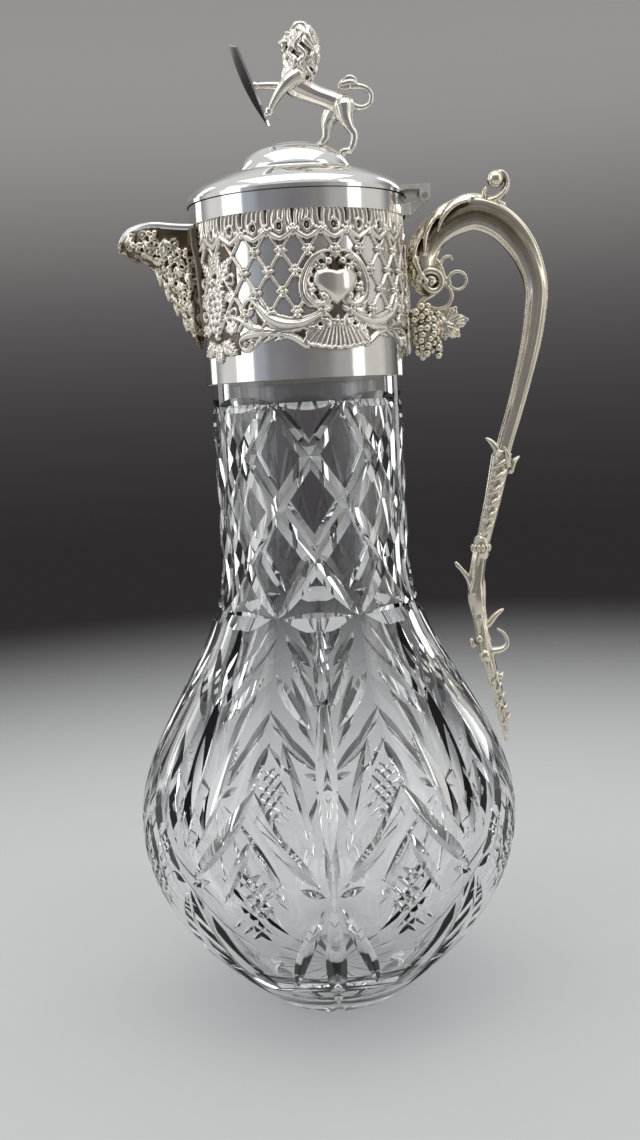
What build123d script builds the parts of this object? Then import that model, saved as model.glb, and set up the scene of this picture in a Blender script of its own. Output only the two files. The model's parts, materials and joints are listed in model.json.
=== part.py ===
from build123d import *
from functools import cache
from math import atan2, cos, degrees, hypot, pi, radians, sin
import os

# A claret jug: a cut-glass body in a silver collar, with a spout, a handle and a hinged lid.
# Millimetres, +Z up. The origin is the centre of the foot's underside, the spout points
# along -X and the handle along +X.

# ---------------------------------------------------------------- glass
FOOT_RADIUS = 21.5        # flat ground foot
BELLY_RADIUS = 62.4       # widest part of the body
BELLY_HEIGHT = 62.0       # height of the widest part
NECK_RADIUS = 30.8
NECK_START = 148.0        # height at which the shoulder has become the straight neck
GLASS_HEIGHT = 240.0
GLASS_WALL = 5.0
BASE_THICKNESS = 10.0
BELLY_FULLNESS = 2.05     # exponent of the curve from foot to belly

SCALLOP_COUNT = 8         # horizontal mitre cuts round the neck, in two rows
SCALLOP_DEPTH = 1.8
SCALLOP_HALF_HEIGHT = 2.4
SCALLOP_BELOW_COLLAR = 7.0
LOWER_SCALLOP_BELOW_NECK = 15.7
RAY_COUNT = 16            # star cut under the foot
RAY_DEPTH = 2.4           # depth where a ray leaves the foot
RAY_HUB_RADIUS = 4.0      # flat centre of the star
RAY_OVERRUN = 6.0         # how far a ray's depth is carried past the foot's edge

MITRE_SPREAD = 1.43       # half width of a mitre over its depth
MITRE_CLEARANCE = 3.0     # how far a mitre's cutter stands out of the glass
MITRE_RUN_OUT = 0.03      # height of its point over the glass at either end
NECK_MITRE_DEPTH = 1.4    # where the mitres of the neck cross
NECK_MITRE_ROWS = 5       # rows of crossings, from one row of level cuts to the other
# The mitres on one eighth part of the body: both ends and the depth in the middle. An end is
# (degrees from the middle of the part, height), with 0 at the foot, 1 at the belly, 2 at the neck.
BODY_MITRES = [((0, 1.52), (0, 1.79), 1.7), ((2.5, 1.51), (13, 1.7), 1.4), ((5, 1.46), (20, 1.63), 1.4),
               ((0, 1.03), (0, 1.59), 2.2), ((4.2, 1.05), (14.5, 1.42), 1.9),
               ((2.6, 0.91), (21, 1.19), 1.7), ((7, 0.95), (23.5, 1.28), 1.5),
               ((12.5, 0.81), (23.5, 1.12), 1.5),
               ((0, 0.85), (0, 0.08), 2.6), ((1.6, 0.83), (17.5, 0.27), 1.6)]

# ---------------------------------------------------------------- collar
CEMENT = 0.8              # plaster between the neck and the collar
CEMENT_SHRINKAGE = 0.02   # as it sets, away from the glass
COLLAR_WALL = 1.0
COLLAR_HEIGHT = 49.55
COLLAR_OVERLAP = 34.75    # how far the collar reaches down over the neck
OVERLAY_THICKNESS = 1.2   # pierced sheet round the collar
OVERLAY_DROP = 40.0       # its height, from the collar's top downwards
RING_HEIGHT = 5.8         # plain ring on top of the collar
RING_OVERHANG = 0.7

LATTICE_PITCH = 14.2      # degrees between the lattice's columns
LATTICE_STEP = 6.0        # height between its rows
LATTICE_BAR = 1.1
LATTICE_TOP_GAP = 11.8    # from the collar's top to the middle of the first row
CARTOUCHE_COLUMNS = 5     # columns between the handle and a cartouche
CARTOUCHE_WIDTH = 22.0
CARTOUCHE_HEIGHT = 19.5
CARTOUCHE_DROP = 22.8     # from the collar's top to its middle
CARTOUCHE_RELIEF = 1.6

SCROLL_RELIEF = 1.0       # how far the scrolls and the grapes stand out of the overlay
# Raised bars, through places of (degrees from the middle, drop from the collar's top, half width).
SCROLLS = [[(41, 27.5, 1.0), (33, 31.8, 1.9), (24, 33.4, 1.9), (12, 31.4, 0.8)],
           [(50, 38.0, 0.6), (44, 36.0, 1.0), (30, 36.3, 1.0), (19, 38.2, 0.7)]]
SHELL = [(-15, 37.4, 1.2), (-7, 37.6, 2.2), (7, 37.6, 2.2), (15, 37.4, 1.2)]
GRAPE_BUNCH = [(0, 13.0, 1.4), (0, 18.0, 4.2), (0, 27.0, 4.4), (0, 34.0, 2.8), (0, 39.5, 0.9)]

# ---------------------------------------------------------------- spout
SPOUT_REACH = 24.7        # from the collar to the tip of the nose
SPOUT_HALF_WIDTH = 12.0
SPOUT_DEPTH = 38.0        # from the lip down to the point of the beard
SPOUT_WALL = 1.5
SPOUT_LIP_HEIGHT = 1.7
SPOUT_LIP_PROUD = 0.6
SPOUT_HUMP = 1.7          # rise of the lip's edge over the collar's top
SPOUT_NOSE_DROP = 2.6     # fall of the lip's edge at the nose
SPOUT_SIDE_ROOM = 0.5     # from the lip's root to the overlay on each side
POUR_SILL = 1.5           # from the glass up to the pouring slot
POUR_HEAD = 1.8           # from the pouring slot up to the ring
POUR_HALF_WIDTH = 8.0

# ---------------------------------------------------------------- lid and hinge
LID_SEAM = 0.3
LID_OVERHANG = 0.4
LID_RISE = 9.5            # from the lid's lower edge to the foot of the boss
LID_WALL = 1.2
LID_EDGE_WALL = 1.5
BOSS_RADIUS = 18.7
BOSS_HEIGHT = 8.6
BEZEL_CLEARANCE = 0.8
BEZEL_WALL = 1.0
BEZEL_DEPTH = 4.6
PIN_RADIUS = 0.8
PIN_RUNNING_GAP = 0.05
PIN_STAND_OFF = 6.1       # from the ring to the hinge pin
KNUCKLE_RADIUS = 1.7
HINGE_WIDTH = 13.0
CENTRE_KNUCKLE_WIDTH = 6.0
HINGE_GAP = 0.3
HINGE_PLATE = 1.3
PIN_HEAD = 0.5            # how far the pin stands out at each end

# ---------------------------------------------------------------- handle
SADDLE_THICKNESS = 1.2
SADDLE_HALF_ANGLE = 8.0
SADDLE_TOP_GAP = 8.0      # from the collar's top down to the saddle
SADDLE_HEIGHT = 35.0
HANDLE_DEPTH_RATIO = 0.86  # width across the plane of the handle, over its thickness
ARCH_REACH = 41.9         # from the overlay to the middle of the outer leg
FINGER_ROOM = 23.9        # from the neck to the knuckle of the handle
TIP_ABOVE_BELLY = 20.2
TIP_GAP = 1.4             # from the glass to the free tip
TIP_RADIUS = 0.9
KNUCKLE_RING_HEIGHT = 3.4
KNUCKLE_RING_WIDTH = 6.9
THUMB_BALL_RADIUS = 3.0

# ---------------------------------------------------------------- vine and lion
TENDRIL_RADIUS = 0.65
TENDRIL_RING_RADIUS = 2.9
LEAF_SIZE = 6.4
LEAF_LOBES = 5
LEAF_THICKNESS = 1.2
LEAF_OFFSET = 6.8         # from the vine's root outwards to the middle of the leaf
LEAF_DROP = 13.2          # and down to it
GRAPE_RADIUS = 1.7
LION_HEIGHT = 38.5        # from the forward foot to the top of the crest
SHIELD_THICKNESS = 0.9
SHIELD_WIDTH = 15.0
PEG_RADIUS = 0.9
PEG_LENGTH = 5.2
NUT_RADIUS = 2.0

# ---------------------------------------------------------------- places worked out from them
COLLAR_BOTTOM = GLASS_HEIGHT - COLLAR_OVERLAP
COLLAR_TOP = COLLAR_BOTTOM + COLLAR_HEIGHT
COLLAR_INNER = NECK_RADIUS + CEMENT
COLLAR_RADIUS = COLLAR_INNER + COLLAR_WALL
OVERLAY_RADIUS = COLLAR_RADIUS + OVERLAY_THICKNESS
SADDLE_RADIUS = OVERLAY_RADIUS + SADDLE_THICKNESS
RING_RADIUS = OVERLAY_RADIUS + RING_OVERHANG
RING_TOP = COLLAR_TOP + RING_HEIGHT
LID_RADIUS = RING_RADIUS + LID_OVERHANG
LID_BOTTOM = RING_TOP + LID_SEAM
BOSS_BASE = LID_BOTTOM + LID_RISE
BOSS_TOP = BOSS_BASE + BOSS_HEIGHT
PIN_X = RING_RADIUS + PIN_STAND_OFF
PIN_Z = LID_BOTTOM
CARTOUCHE_ANGLE = CARTOUCHE_COLUMNS * LATTICE_PITCH
OUT = 10.0                # how far a cutter is carried past what it cuts


# ---------------------------------------------------------------- helpers
def save(shape, name):
    """Write one piece as parts/NAME.step."""
    shape.label = name
    export_step(shape, f"parts/{name}.step")


def tube(inner, outer, low, high):
    """A ring about the jug's axis."""
    height = high - low
    return Pos(0, 0, (low + high) / 2) * (Cylinder(outer, height) - Cylinder(inner, height))


def side_plate(points, width, middle=0.0):
    """A plate whose outline is drawn in the XZ plane and whose width lies along Y."""
    face = Plane.XZ * make_face(Polyline(*points, close=True))
    return Pos(0, middle, 0) * extrude(face, width / 2, both=True)


def turned(profile):
    """A solid of revolution from an (r, z) outline."""
    return revolve(Plane.XZ * make_face(profile), Axis.Z)


def limb(points, radii):
    """Round bars between points, with a ball at each point."""
    shape = None
    for point, radius in zip(points, radii):
        ball = Pos(*point) * Sphere(radius)
        shape = ball if shape is None else shape + ball
    for start, end, first, last in zip(points, points[1:], radii, radii[1:]):
        way = Vector(*end) - Vector(*start)
        place = Plane(origin=start, z_dir=way)
        bar = loft([place * Circle(first), place.offset(way.length) * Circle(last)])
        shape = shape + bar
    return shape


def oval_bar(stations, depth_ratio):
    """A smooth bar in the XZ plane, through stations of (x, z, thickness)."""
    sections = []
    for index, (x, z, thickness) in enumerate(stations):
        before = stations[max(index - 1, 0)]
        after = stations[min(index + 1, len(stations) - 1)]
        place = Plane(origin=(x, 0, z), x_dir=(0, 1, 0),
                      z_dir=(after[0] - before[0], 0, after[1] - before[1]))
        sections.append(place * Ellipse(thickness * depth_ratio / 2, thickness / 2))
    return loft(sections)


def between(low, high, share):
    return low + (high - low) * share


# ---------------------------------------------------------------- glass
def glass_radius(z):
    """Outer radius of the glass at a height, before any cutting."""
    if z <= BELLY_HEIGHT:
        below = 1 - z / BELLY_HEIGHT
        return FOOT_RADIUS + (BELLY_RADIUS - FOOT_RADIUS) * (1 - below ** BELLY_FULLNESS)
    if z >= NECK_START:
        return NECK_RADIUS
    turn = pi * (z - BELLY_HEIGHT) / (NECK_START - BELLY_HEIGHT)
    return NECK_RADIUS + (BELLY_RADIUS - NECK_RADIUS) * (1 + cos(turn)) / 2


def bore_radius(z):
    """Inner radius of the glass: one wall inside the outer curve."""
    step = 0.01
    slope = (glass_radius(z + step) - glass_radius(z - step)) / (2 * step)
    return glass_radius(z) - GLASS_WALL * hypot(1, slope)


def on_glass(angle, z):
    """The place on the uncut glass at an angle and a height, and the way the surface faces."""
    step = 0.01
    slope = (glass_radius(z + step) - glass_radius(z - step)) / (2 * step)
    x, y = cos(radians(angle)), sin(radians(angle))
    return Vector(glass_radius(z) * x, glass_radius(z) * y, z), Vector(x, y, -slope).normalized()


def blown_glass():
    """The bottle before it is cut."""
    lower = [BELLY_HEIGHT * share for share in (0, 0.08, 0.2, 0.36, 0.56, 0.78, 1)]
    upper = [between(BELLY_HEIGHT, NECK_START, share) for share in (0, 0.17, 0.34, 0.5, 0.66, 0.83, 1)]
    floor = between(BASE_THICKNESS, BELLY_HEIGHT, 0.22)
    inner_lower = [between(floor, BELLY_HEIGHT, share) for share in (0, 0.3, 0.65, 1)]
    foot = Vector(glass_radius(0.5) - FOOT_RADIUS, 0.5)
    up = Vector(0, 1)
    with BuildLine() as profile:
        Line((0, 0), (FOOT_RADIUS, 0))
        Spline(*[(glass_radius(z), z) for z in lower], tangents=[foot, up])
        Spline(*[(glass_radius(z), z) for z in upper], tangents=[up, up])
        Line((NECK_RADIUS, NECK_START), (NECK_RADIUS, GLASS_HEIGHT))
        Line((NECK_RADIUS, GLASS_HEIGHT), (NECK_RADIUS - GLASS_WALL, GLASS_HEIGHT))
        Line((NECK_RADIUS - GLASS_WALL, GLASS_HEIGHT), (NECK_RADIUS - GLASS_WALL, NECK_START))
        Spline(*[(bore_radius(z), z) for z in reversed(upper)], tangents=[-up, -up])
        Spline(*[(bore_radius(z), z) for z in reversed(inner_lower)], (0, BASE_THICKNESS),
               tangents=[-up, Vector(-1, 0)])
        Line((0, BASE_THICKNESS), (0, 0))
    return turned(profile.line)


def glass_body():
    level_cuts, neck_mitres, body_mitres = [], [], []
    for index in range(SCALLOP_COUNT):
        angle = index * 360 / SCALLOP_COUNT - 90
        for row in scallop_rows():
            level_cuts.append(Rot(0, 0, angle) * scallop(row))
        for direction in (-1, 1):
            neck_mitres.append(neck_mitre(angle, direction))
        for start, end, depth in BODY_MITRES:
            for side in ((1,) if end[0] == 0 else (-1, 1)):
                ends = [(angle + side * offset, body_height(share)) for offset, share in (start, end)]
                body_mitres.append(body_mitre(*ends, depth))
    rays = [Rot(0, 0, index * 360 / RAY_COUNT - 90) * star_ray() for index in range(RAY_COUNT)]
    return blown_glass() - body_mitres - (level_cuts + rays) - neck_mitres


def scallop_rows():
    return NECK_START - LOWER_SCALLOP_BELOW_NECK, COLLAR_BOTTOM - SCALLOP_BELOW_COLLAR


def body_height(share):
    if share <= 1:
        return BELLY_HEIGHT * share
    return between(BELLY_HEIGHT, NECK_START, share - 1)


def mitre_section(place, facing, across, depth):
    """The corners of a V that stands on its point, depth below a place on the glass."""
    middle = place + facing * MITRE_CLEARANCE
    half = across * (MITRE_SPREAD * (MITRE_CLEARANCE + depth))
    return [place - facing * depth, middle + half, middle - half]


def v_bar(sections, twisted=False):
    """A bar with flat faces through V sections; a twisted one has its faces split in two."""
    corners = [corner for section in sections for corner in section]
    last = len(corners) - 3
    outlines = [(0, 1, 2), (last, last + 2, last + 1)]
    for first in range(0, last, 3):
        for here, there in ((0, 1), (1, 2), (2, 0)):
            a, b, c, d = first + here, first + 3 + here, first + 3 + there, first + there
            outlines += [(a, b, c), (a, c, d)] if twisted else [(a, b, c, d)]
    faces = [Face(Wire.make_polygon([corners[index] for index in outline])) for outline in outlines]
    return Solid(Shell(faces))


def body_mitre(start, end, depth):
    """A mitre that is deepest in its middle and runs out at both ends, as a V wheel leaves it."""
    low, high = on_glass(*start)[0], on_glass(*end)[0]
    middle, facing = on_glass((start[0] + end[0]) / 2, (start[1] + end[1]) / 2)
    across = (high - low).cross(facing).normalized()
    facing = across.cross(high - low).normalized()
    places = [(low, -MITRE_RUN_OUT), (middle, depth), (high, -MITRE_RUN_OUT)]
    return v_bar([mitre_section(place, facing, across, dip) for place, dip in places])


def neck_mitre(angle, direction):
    """A mitre that winds up the neck and crosses the ones that wind the other way."""
    low, high = scallop_rows()
    turn = 180 / SCALLOP_COUNT * (NECK_MITRE_ROWS - 1) * direction
    step = 0.05

    def at(share):
        return on_glass(angle + turn * (share - 0.5), between(low, high, share))

    sections = []
    for row in range(NECK_MITRE_ROWS):
        share = row / (NECK_MITRE_ROWS - 1)
        place, facing = at(share)
        across = (at(share + step)[0] - at(share - step)[0]).cross(facing).normalized()
        sections.append(mitre_section(place, facing, across, NECK_MITRE_DEPTH))
    return v_bar(sections, twisted=True)


def scallop(z):
    """A straight V cut across the neck at height z, on the +X side."""
    bottom = glass_radius(z) - SCALLOP_DEPTH
    spread = SCALLOP_HALF_HEIGHT / SCALLOP_DEPTH * (SCALLOP_DEPTH + OUT)
    outline = [(bottom, z), (bottom + SCALLOP_DEPTH + OUT, z - spread),
               (bottom + SCALLOP_DEPTH + OUT, z + spread)]
    return side_plate(outline, NECK_RADIUS)


def star_ray():
    """A V cut under the foot that deepens from the hub outwards, on the +X side."""
    run = FOOT_RADIUS + RAY_OVERRUN - RAY_HUB_RADIUS
    slope = atan2(RAY_DEPTH, run)
    outline = Polyline((0, 0), (-OUT, -OUT), (OUT, -OUT), close=True)
    face = Plane.YZ * make_face(outline)
    ray = extrude(face, BELLY_RADIUS)
    return Pos(RAY_HUB_RADIUS, 0, 0) * Rot(0, -degrees(slope), 0) * ray


# ---------------------------------------------------------------- collar
def neck_cement():
    return tube(NECK_RADIUS + CEMENT_SHRINKAGE, COLLAR_INNER, COLLAR_BOTTOM, GLASS_HEIGHT)


def collar_tube():
    low = GLASS_HEIGHT + POUR_SILL
    high = COLLAR_TOP - POUR_HEAD
    slot = Pos(-COLLAR_RADIUS, 0, (low + high) / 2) * Box(OUT, 2 * POUR_HALF_WIDTH, high - low)
    return tube(COLLAR_INNER, COLLAR_RADIUS, COLLAR_BOTTOM, COLLAR_TOP) - slot


def on_collar(angle, z):
    """The place on the collar at an angle from the handle: X outwards, Y round it, Z up."""
    return Rot(0, 0, angle) * Pos(0, 0, z)


def piercing():
    """One diamond-shaped hole of the lattice, on the +X side at z = 0."""
    half_height = LATTICE_STEP - LATTICE_BAR
    half_width = radians(LATTICE_PITCH / 2) * OVERLAY_RADIUS - LATTICE_BAR
    corners = [(half_width, 0), (0, half_height), (-half_width, 0), (0, -half_height)]
    face = Plane.YZ * make_face(Polyline(*corners, close=True))
    return Pos(OVERLAY_RADIUS - OUT / 2, 0, 0) * extrude(face, OUT)


def pierced_overlay():
    """The pierced sheet round the collar, open where the spout is soldered on."""
    sheet = tube(COLLAR_RADIUS, OVERLAY_RADIUS, COLLAR_TOP - OVERLAY_DROP, COLLAR_TOP)
    gap = 2 * (SPOUT_HALF_WIDTH + SPOUT_LIP_PROUD + SPOUT_SIDE_ROOM)
    hole = piercing()
    cutters = [Pos(-OVERLAY_RADIUS, 0, COLLAR_TOP) * Box(OVERLAY_RADIUS, gap, 2 * COLLAR_HEIGHT)]
    for row in range(4):
        z = COLLAR_TOP - LATTICE_TOP_GAP - row * LATTICE_STEP
        steps = (1.5, 2.5, 3.5) if row % 2 == 0 else (2, 3)
        for column in steps:
            for side in (-1, 1):
                angle = CARTOUCHE_ANGLE + side * column * LATTICE_PITCH
                cutters.append(on_collar(angle, z) * hole)
                cutters.append(on_collar(-angle, z) * hole)
    return (sheet - cutters) + overlay_relief()


def overlay_relief():
    """The scrolls and the shell about each cartouche, and a bunch of grapes on each side of the spout."""
    bars = []
    for side in (-1, 1):
        bars.append(raised_bar(SHELL, side * CARTOUCHE_ANGLE))
        bars.append(raised_bar(GRAPE_BUNCH, side * 2 * CARTOUCHE_ANGLE))
        for places in SCROLLS:
            for hand in (-1, 1):
                bars.append(raised_bar(places, side * CARTOUCHE_ANGLE, hand))
    return bars


def raised_bar(places, middle, hand=1):
    """A bar with a sharp back on the overlay; middle is its place in degrees, hand -1 mirrors it."""
    def at(index, out):
        angle, drop, _ = places[min(max(index, 0), len(places) - 1)]
        turn = radians(middle + hand * angle)
        radius = OVERLAY_RADIUS + out
        return Vector(radius * cos(turn), radius * sin(turn), COLLAR_TOP - drop)

    sections = []
    for index, (_, _, half) in enumerate(places):
        back, base = at(index, SCROLL_RELIEF), at(index, -OVERLAY_THICKNESS / 2)
        across = (at(index + 1, 0) - at(index - 1, 0)).cross(back - base).normalized()
        sections.append([back, base - across * half, base + across * half])
    return v_bar(sections, twisted=True)


def cartouche(side):
    """A heart-shaped boss on the overlay: side is -1 for the -Y one, 1 for the +Y one."""
    half = CARTOUCHE_WIDTH / 2
    top = CARTOUCHE_HEIGHT / 2
    with BuildLine() as heart:
        Spline((0, top * 0.8), (half * 0.55, top), (half, top * 0.35), (half * 0.62, -top * 0.55), (0, -top))
        Spline((0, -top), (-half * 0.62, -top * 0.55), (-half, top * 0.35), (-half * 0.55, top),
               (0, top * 0.8))
    block = extrude(Plane.YZ * make_face(heart.line), OVERLAY_RADIUS + OUT)
    middle = COLLAR_TOP - CARTOUCHE_DROP
    shell = tube(OVERLAY_RADIUS, OVERLAY_RADIUS + CARTOUCHE_RELIEF, -CARTOUCHE_HEIGHT, CARTOUCHE_HEIGHT)
    return on_collar(side * CARTOUCHE_ANGLE, middle) * (shell & block)


def rim_ring():
    return tube(COLLAR_INNER, RING_RADIUS, COLLAR_TOP, RING_TOP)


# ---------------------------------------------------------------- spout
# Share of the spout's depth below the lip, share of its reach, share of its half width.
SPOUT_SECTIONS = [(1.0, 0.02, 0.32), (0.86, 0.09, 0.58), (0.72, 0.2, 0.78), (0.6, 0.3, 0.9),
                  (0.44, 0.42, 0.96), (0.34, 0.5, 1.0), (0.27, 0.66, 1.0), (0.21, 0.86, 1.0),
                  (0.16, 0.97, 1.0), (0.08, 1.0, 1.0), (-0.1, 0.96, 1.0)]


def spout_form(inset, first=0):
    """The spout's outer form, made smaller by inset; first leaves out its lowest sections."""
    root = COLLAR_RADIUS - 2.5
    sections = []
    for depth, reach, width in SPOUT_SECTIONS[first:]:
        length = COLLAR_RADIUS - root + SPOUT_REACH * reach - inset
        place = Plane(origin=(-root, 0, COLLAR_TOP - SPOUT_DEPTH * depth))
        sections.append(place * Ellipse(length, SPOUT_HALF_WIDTH * width - inset))
    return loft(sections)


def spout_edge(drop):
    """Everything below the lip's curved edge, lowered by drop."""
    nose = -(COLLAR_RADIUS + SPOUT_REACH)
    top = COLLAR_TOP - drop
    edge = Spline((0, top), (-COLLAR_RADIUS, top + 0.2), (nose * 0.8, top + SPOUT_HUMP),
                  (nose, top - SPOUT_NOSE_DROP), (nose - OUT, top - SPOUT_NOSE_DROP - OUT))
    low = top - SPOUT_DEPTH - OUT
    rest = Polyline((nose - OUT, top - SPOUT_NOSE_DROP - OUT), (nose - OUT, low), (0, low), (0, top))
    face = Plane.XZ * make_face(edge + rest)
    return extrude(face, SPOUT_HALF_WIDTH + OUT, both=True)


def spout_channel():
    """The trough, from the pouring slot's sill up."""
    cut = spout_form(SPOUT_WALL, 4)
    sill = GLASS_HEIGHT + POUR_SILL
    side = 2 * BELLY_RADIUS
    above_sill = Pos(-side / 2, 0, sill + SPOUT_DEPTH) * Box(side, side / 2, 2 * SPOUT_DEPTH)
    return cut & above_sill


def spout_body():
    solid = spout_form(0) & spout_edge(SPOUT_LIP_HEIGHT)
    return solid - spout_channel() - Cylinder(COLLAR_RADIUS, 3 * GLASS_HEIGHT)


def spout_lip():
    """The plain polished edge that runs round the trough."""
    band = spout_edge(0) - spout_edge(SPOUT_LIP_HEIGHT)
    solid = (spout_form(-SPOUT_LIP_PROUD) & band) - spout_channel()
    above = Pos(0, 0, COLLAR_TOP + RING_HEIGHT / 2) * Cylinder(RING_RADIUS, RING_HEIGHT)
    return solid - Cylinder(COLLAR_RADIUS, 3 * GLASS_HEIGHT) - above


# ---------------------------------------------------------------- lid
def boss_height(radius):
    """Height of the boss's top at a radius."""
    share = min(radius / BOSS_RADIUS, 1)
    return BOSS_BASE + BOSS_HEIGHT * (1 - share ** 3.2) ** 0.62


def lid_outline(inset):
    """The lid's curve from edge to crown as (r, z), moved inwards and down by inset."""
    edge = LID_RADIUS - inset * LID_EDGE_WALL / LID_WALL
    points = [(edge, LID_BOTTOM + LID_RISE * 0.12),
              (edge - 1.0, LID_BOTTOM + LID_RISE * 0.34 - inset * 0.8),
              (edge - 4.0, LID_BOTTOM + LID_RISE * 0.57 - inset),
              (between(BOSS_RADIUS, edge, 0.5), BOSS_BASE - 2.0 - inset),
              (BOSS_RADIUS - inset * 0.4, BOSS_BASE - inset)]
    boss = [0.985, 0.93, 0.84, 0.68, 0.45, 0.0]
    scale = (BOSS_RADIUS - inset) / BOSS_RADIUS
    crown = [(share * BOSS_RADIUS * scale, boss_height(share * BOSS_RADIUS) - inset) for share in boss]
    return points, crown


def lid_solid(inset):
    """The lid's outer form, filled, made smaller by inset."""
    points, crown = lid_outline(inset)
    with BuildLine() as profile:
        Line((0, LID_BOTTOM), (points[0][0], LID_BOTTOM))
        Line((points[0][0], LID_BOTTOM), points[0])
        Spline(*points)
        Spline(points[-1], *crown, tangents=[Vector(0, 1), Vector(-1, 0)])
        Line(crown[-1], (0, LID_BOTTOM))
    return turned(profile.line)


# Feet of the lion on the boss: the forward foot and the rear foot, as (x, y).
FORWARD_FOOT = (7.6, 3.0)
REAR_FOOT = (15.4, -3.4)


def at_feet(shape):
    """A shape stood on the boss under each of the lion's feet."""
    copies = []
    for x, y in (FORWARD_FOOT, REAR_FOOT):
        copies.append(Pos(x, y, boss_height(hypot(x, y))) * shape)
    return copies


def pegs():
    """A peg under each foot, down through the lid."""
    return at_feet(Pos(0, 0, -PEG_LENGTH / 2) * Cylinder(PEG_RADIUS, PEG_LENGTH))


@cache
def lid_cover():
    return lid_solid(0) - lid_solid(LID_WALL) - pegs()


def lid_bezel():
    """The ring under the lid that drops inside the collar's ring."""
    outer = COLLAR_INNER - BEZEL_CLEARANCE
    inner = outer - BEZEL_WALL
    skirt = tube(inner, outer, LID_BOTTOM - BEZEL_DEPTH, LID_BOTTOM + BEZEL_WALL)
    flange = tube(inner, LID_RADIUS - LID_EDGE_WALL, LID_BOTTOM, LID_BOTTOM + BEZEL_WALL)
    return skirt + flange


# ---------------------------------------------------------------- hinge
def knuckle(radius, width, middle):
    return Pos(PIN_X, middle, PIN_Z) * Rot(90, 0, 0) * Cylinder(radius, width)


def hinge_pin():
    return knuckle(PIN_RADIUS, HINGE_WIDTH + 2 * PIN_HEAD, 0)


def collar_hinge_leaf():
    """The lower leaf, from the ring up to the knuckle in the middle."""
    wall = RING_RADIUS - KNUCKLE_RADIUS
    low = COLLAR_TOP + LID_SEAM
    arm = [(wall, low), (RING_RADIUS + HINGE_PLATE, low), (PIN_X, PIN_Z - KNUCKLE_RADIUS),
           (PIN_X - KNUCKLE_RADIUS, PIN_Z), (RING_RADIUS + 0.2, COLLAR_TOP + RING_HEIGHT * 0.6),
           (wall, COLLAR_TOP + RING_HEIGHT * 0.6)]
    plate = side_plate(arm, HINGE_WIDTH)
    side_room = (HINGE_WIDTH - CENTRE_KNUCKLE_WIDTH) / 2 + OUT
    for side in (-1, 1):
        middle = side * (CENTRE_KNUCKLE_WIDTH + side_room) / 2
        clear = PIN_STAND_OFF - HINGE_PLATE
        block = Pos(PIN_X - clear / 2 + OUT / 2, middle, PIN_Z) * Box(clear + OUT, side_room, 4 * OUT)
        plate = plate - block
    leaf = plate + knuckle(KNUCKLE_RADIUS, CENTRE_KNUCKLE_WIDTH, 0)
    ring = Pos(0, 0, COLLAR_TOP + RING_HEIGHT / 2) * Cylinder(RING_RADIUS, 2 * RING_HEIGHT)
    return leaf - ring - knuckle(PIN_RADIUS, HINGE_WIDTH, 0)


def lid_hinge_leaf():
    """The upper leaf, from the lid out to the two outer knuckles."""
    low = PIN_Z + KNUCKLE_RADIUS + HINGE_GAP
    high = low + HINGE_PLATE
    wall = LID_RADIUS - 3 * HINGE_PLATE
    far = PIN_X + KNUCKLE_RADIUS
    leaf = side_plate([(wall, low), (far, low), (far, high), (wall, high)], HINGE_WIDTH)
    width = (HINGE_WIDTH - CENTRE_KNUCKLE_WIDTH) / 2 - HINGE_GAP
    for side in (-1, 1):
        middle = side * (HINGE_WIDTH - width) / 2
        near = PIN_X - KNUCKLE_RADIUS
        block = side_plate([(near, PIN_Z), (far, PIN_Z), (far, high), (near, high)], width, middle)
        leaf = leaf + block + knuckle(KNUCKLE_RADIUS, width, middle)
    return leaf - lid_solid(0) - knuckle(PIN_RADIUS + PIN_RUNNING_GAP, 2 * HINGE_WIDTH, 0)


# ---------------------------------------------------------------- handle
# The arch: x from the overlay as a share of ARCH_REACH, z from the collar's top, thickness.
ARCH = [(0.15, -20.5, 8.6), (0.13, -13.4, 9.4), (0.205, -7.2, 8.8), (0.305, -3.2, 9.2), (0.435, -0.5, 10.2),
        (0.565, 0.35, 10.6), (0.72, -2.3, 10.4), (0.845, -7.3, 9.9), (0.94, -14.0, 8.8), (1.0, -23.3, 7.5)]
# The leg: share of its height above the knuckle, share of its reach, thickness.
LEG = [(0.885, 0.962, 7.0), (0.773, 0.876, 6.5), (0.654, 0.748, 5.9), (0.533, 0.605, 5.6),
       (0.425, 0.462, 5.4), (0.351, 0.371, 5.4)]
SHEATH = [(0.351, 0.371, 7.0), (0.202, 0.233, 6.0), (0.04, 0.057, 4.9), (0.0, 0.03, 4.8)]
# The branch: share of its length below the knuckle, bow towards the glass, thickness.
BRANCH = [(0.0, 0.4, 5.2), (0.13, 2.4, 5.3), (0.24, 3.4, 6.2), (0.37, 3.4, 4.7), (0.5, 2.9, 4.6),
          (0.63, 2.0, 4.5), (0.76, 1.0, 4.1), (0.89, 0.25, 3.2), (1.0, 0.0, 1.8)]


def arch_stations():
    return [(OVERLAY_RADIUS + share * ARCH_REACH, COLLAR_TOP + z, thickness) for share, z, thickness in ARCH]


def tip_place():
    z = BELLY_HEIGHT + TIP_ABOVE_BELLY
    return glass_radius(z) + TIP_GAP + TIP_RADIUS, z


def knuckle_place():
    """The small ring between the sheath and the branch."""
    tip_z = tip_place()[1]
    return NECK_RADIUS + FINGER_ROOM, between(tip_z, arch_stations()[-1][1], 0.4386)


def leg_stations(table):
    top_x, top_z, _ = arch_stations()[-1]
    low_x, low_z = knuckle_place()
    return [(between(low_x, top_x, x), between(low_z, top_z, z), thickness) for z, x, thickness in table]


def branch_stations():
    start_x, start_z = knuckle_place()
    tip_x, tip_z = tip_place()
    return [(between(start_x, tip_x, share) - bow, between(start_z, tip_z, share), thickness)
            for share, bow, thickness in BRANCH]


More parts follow.
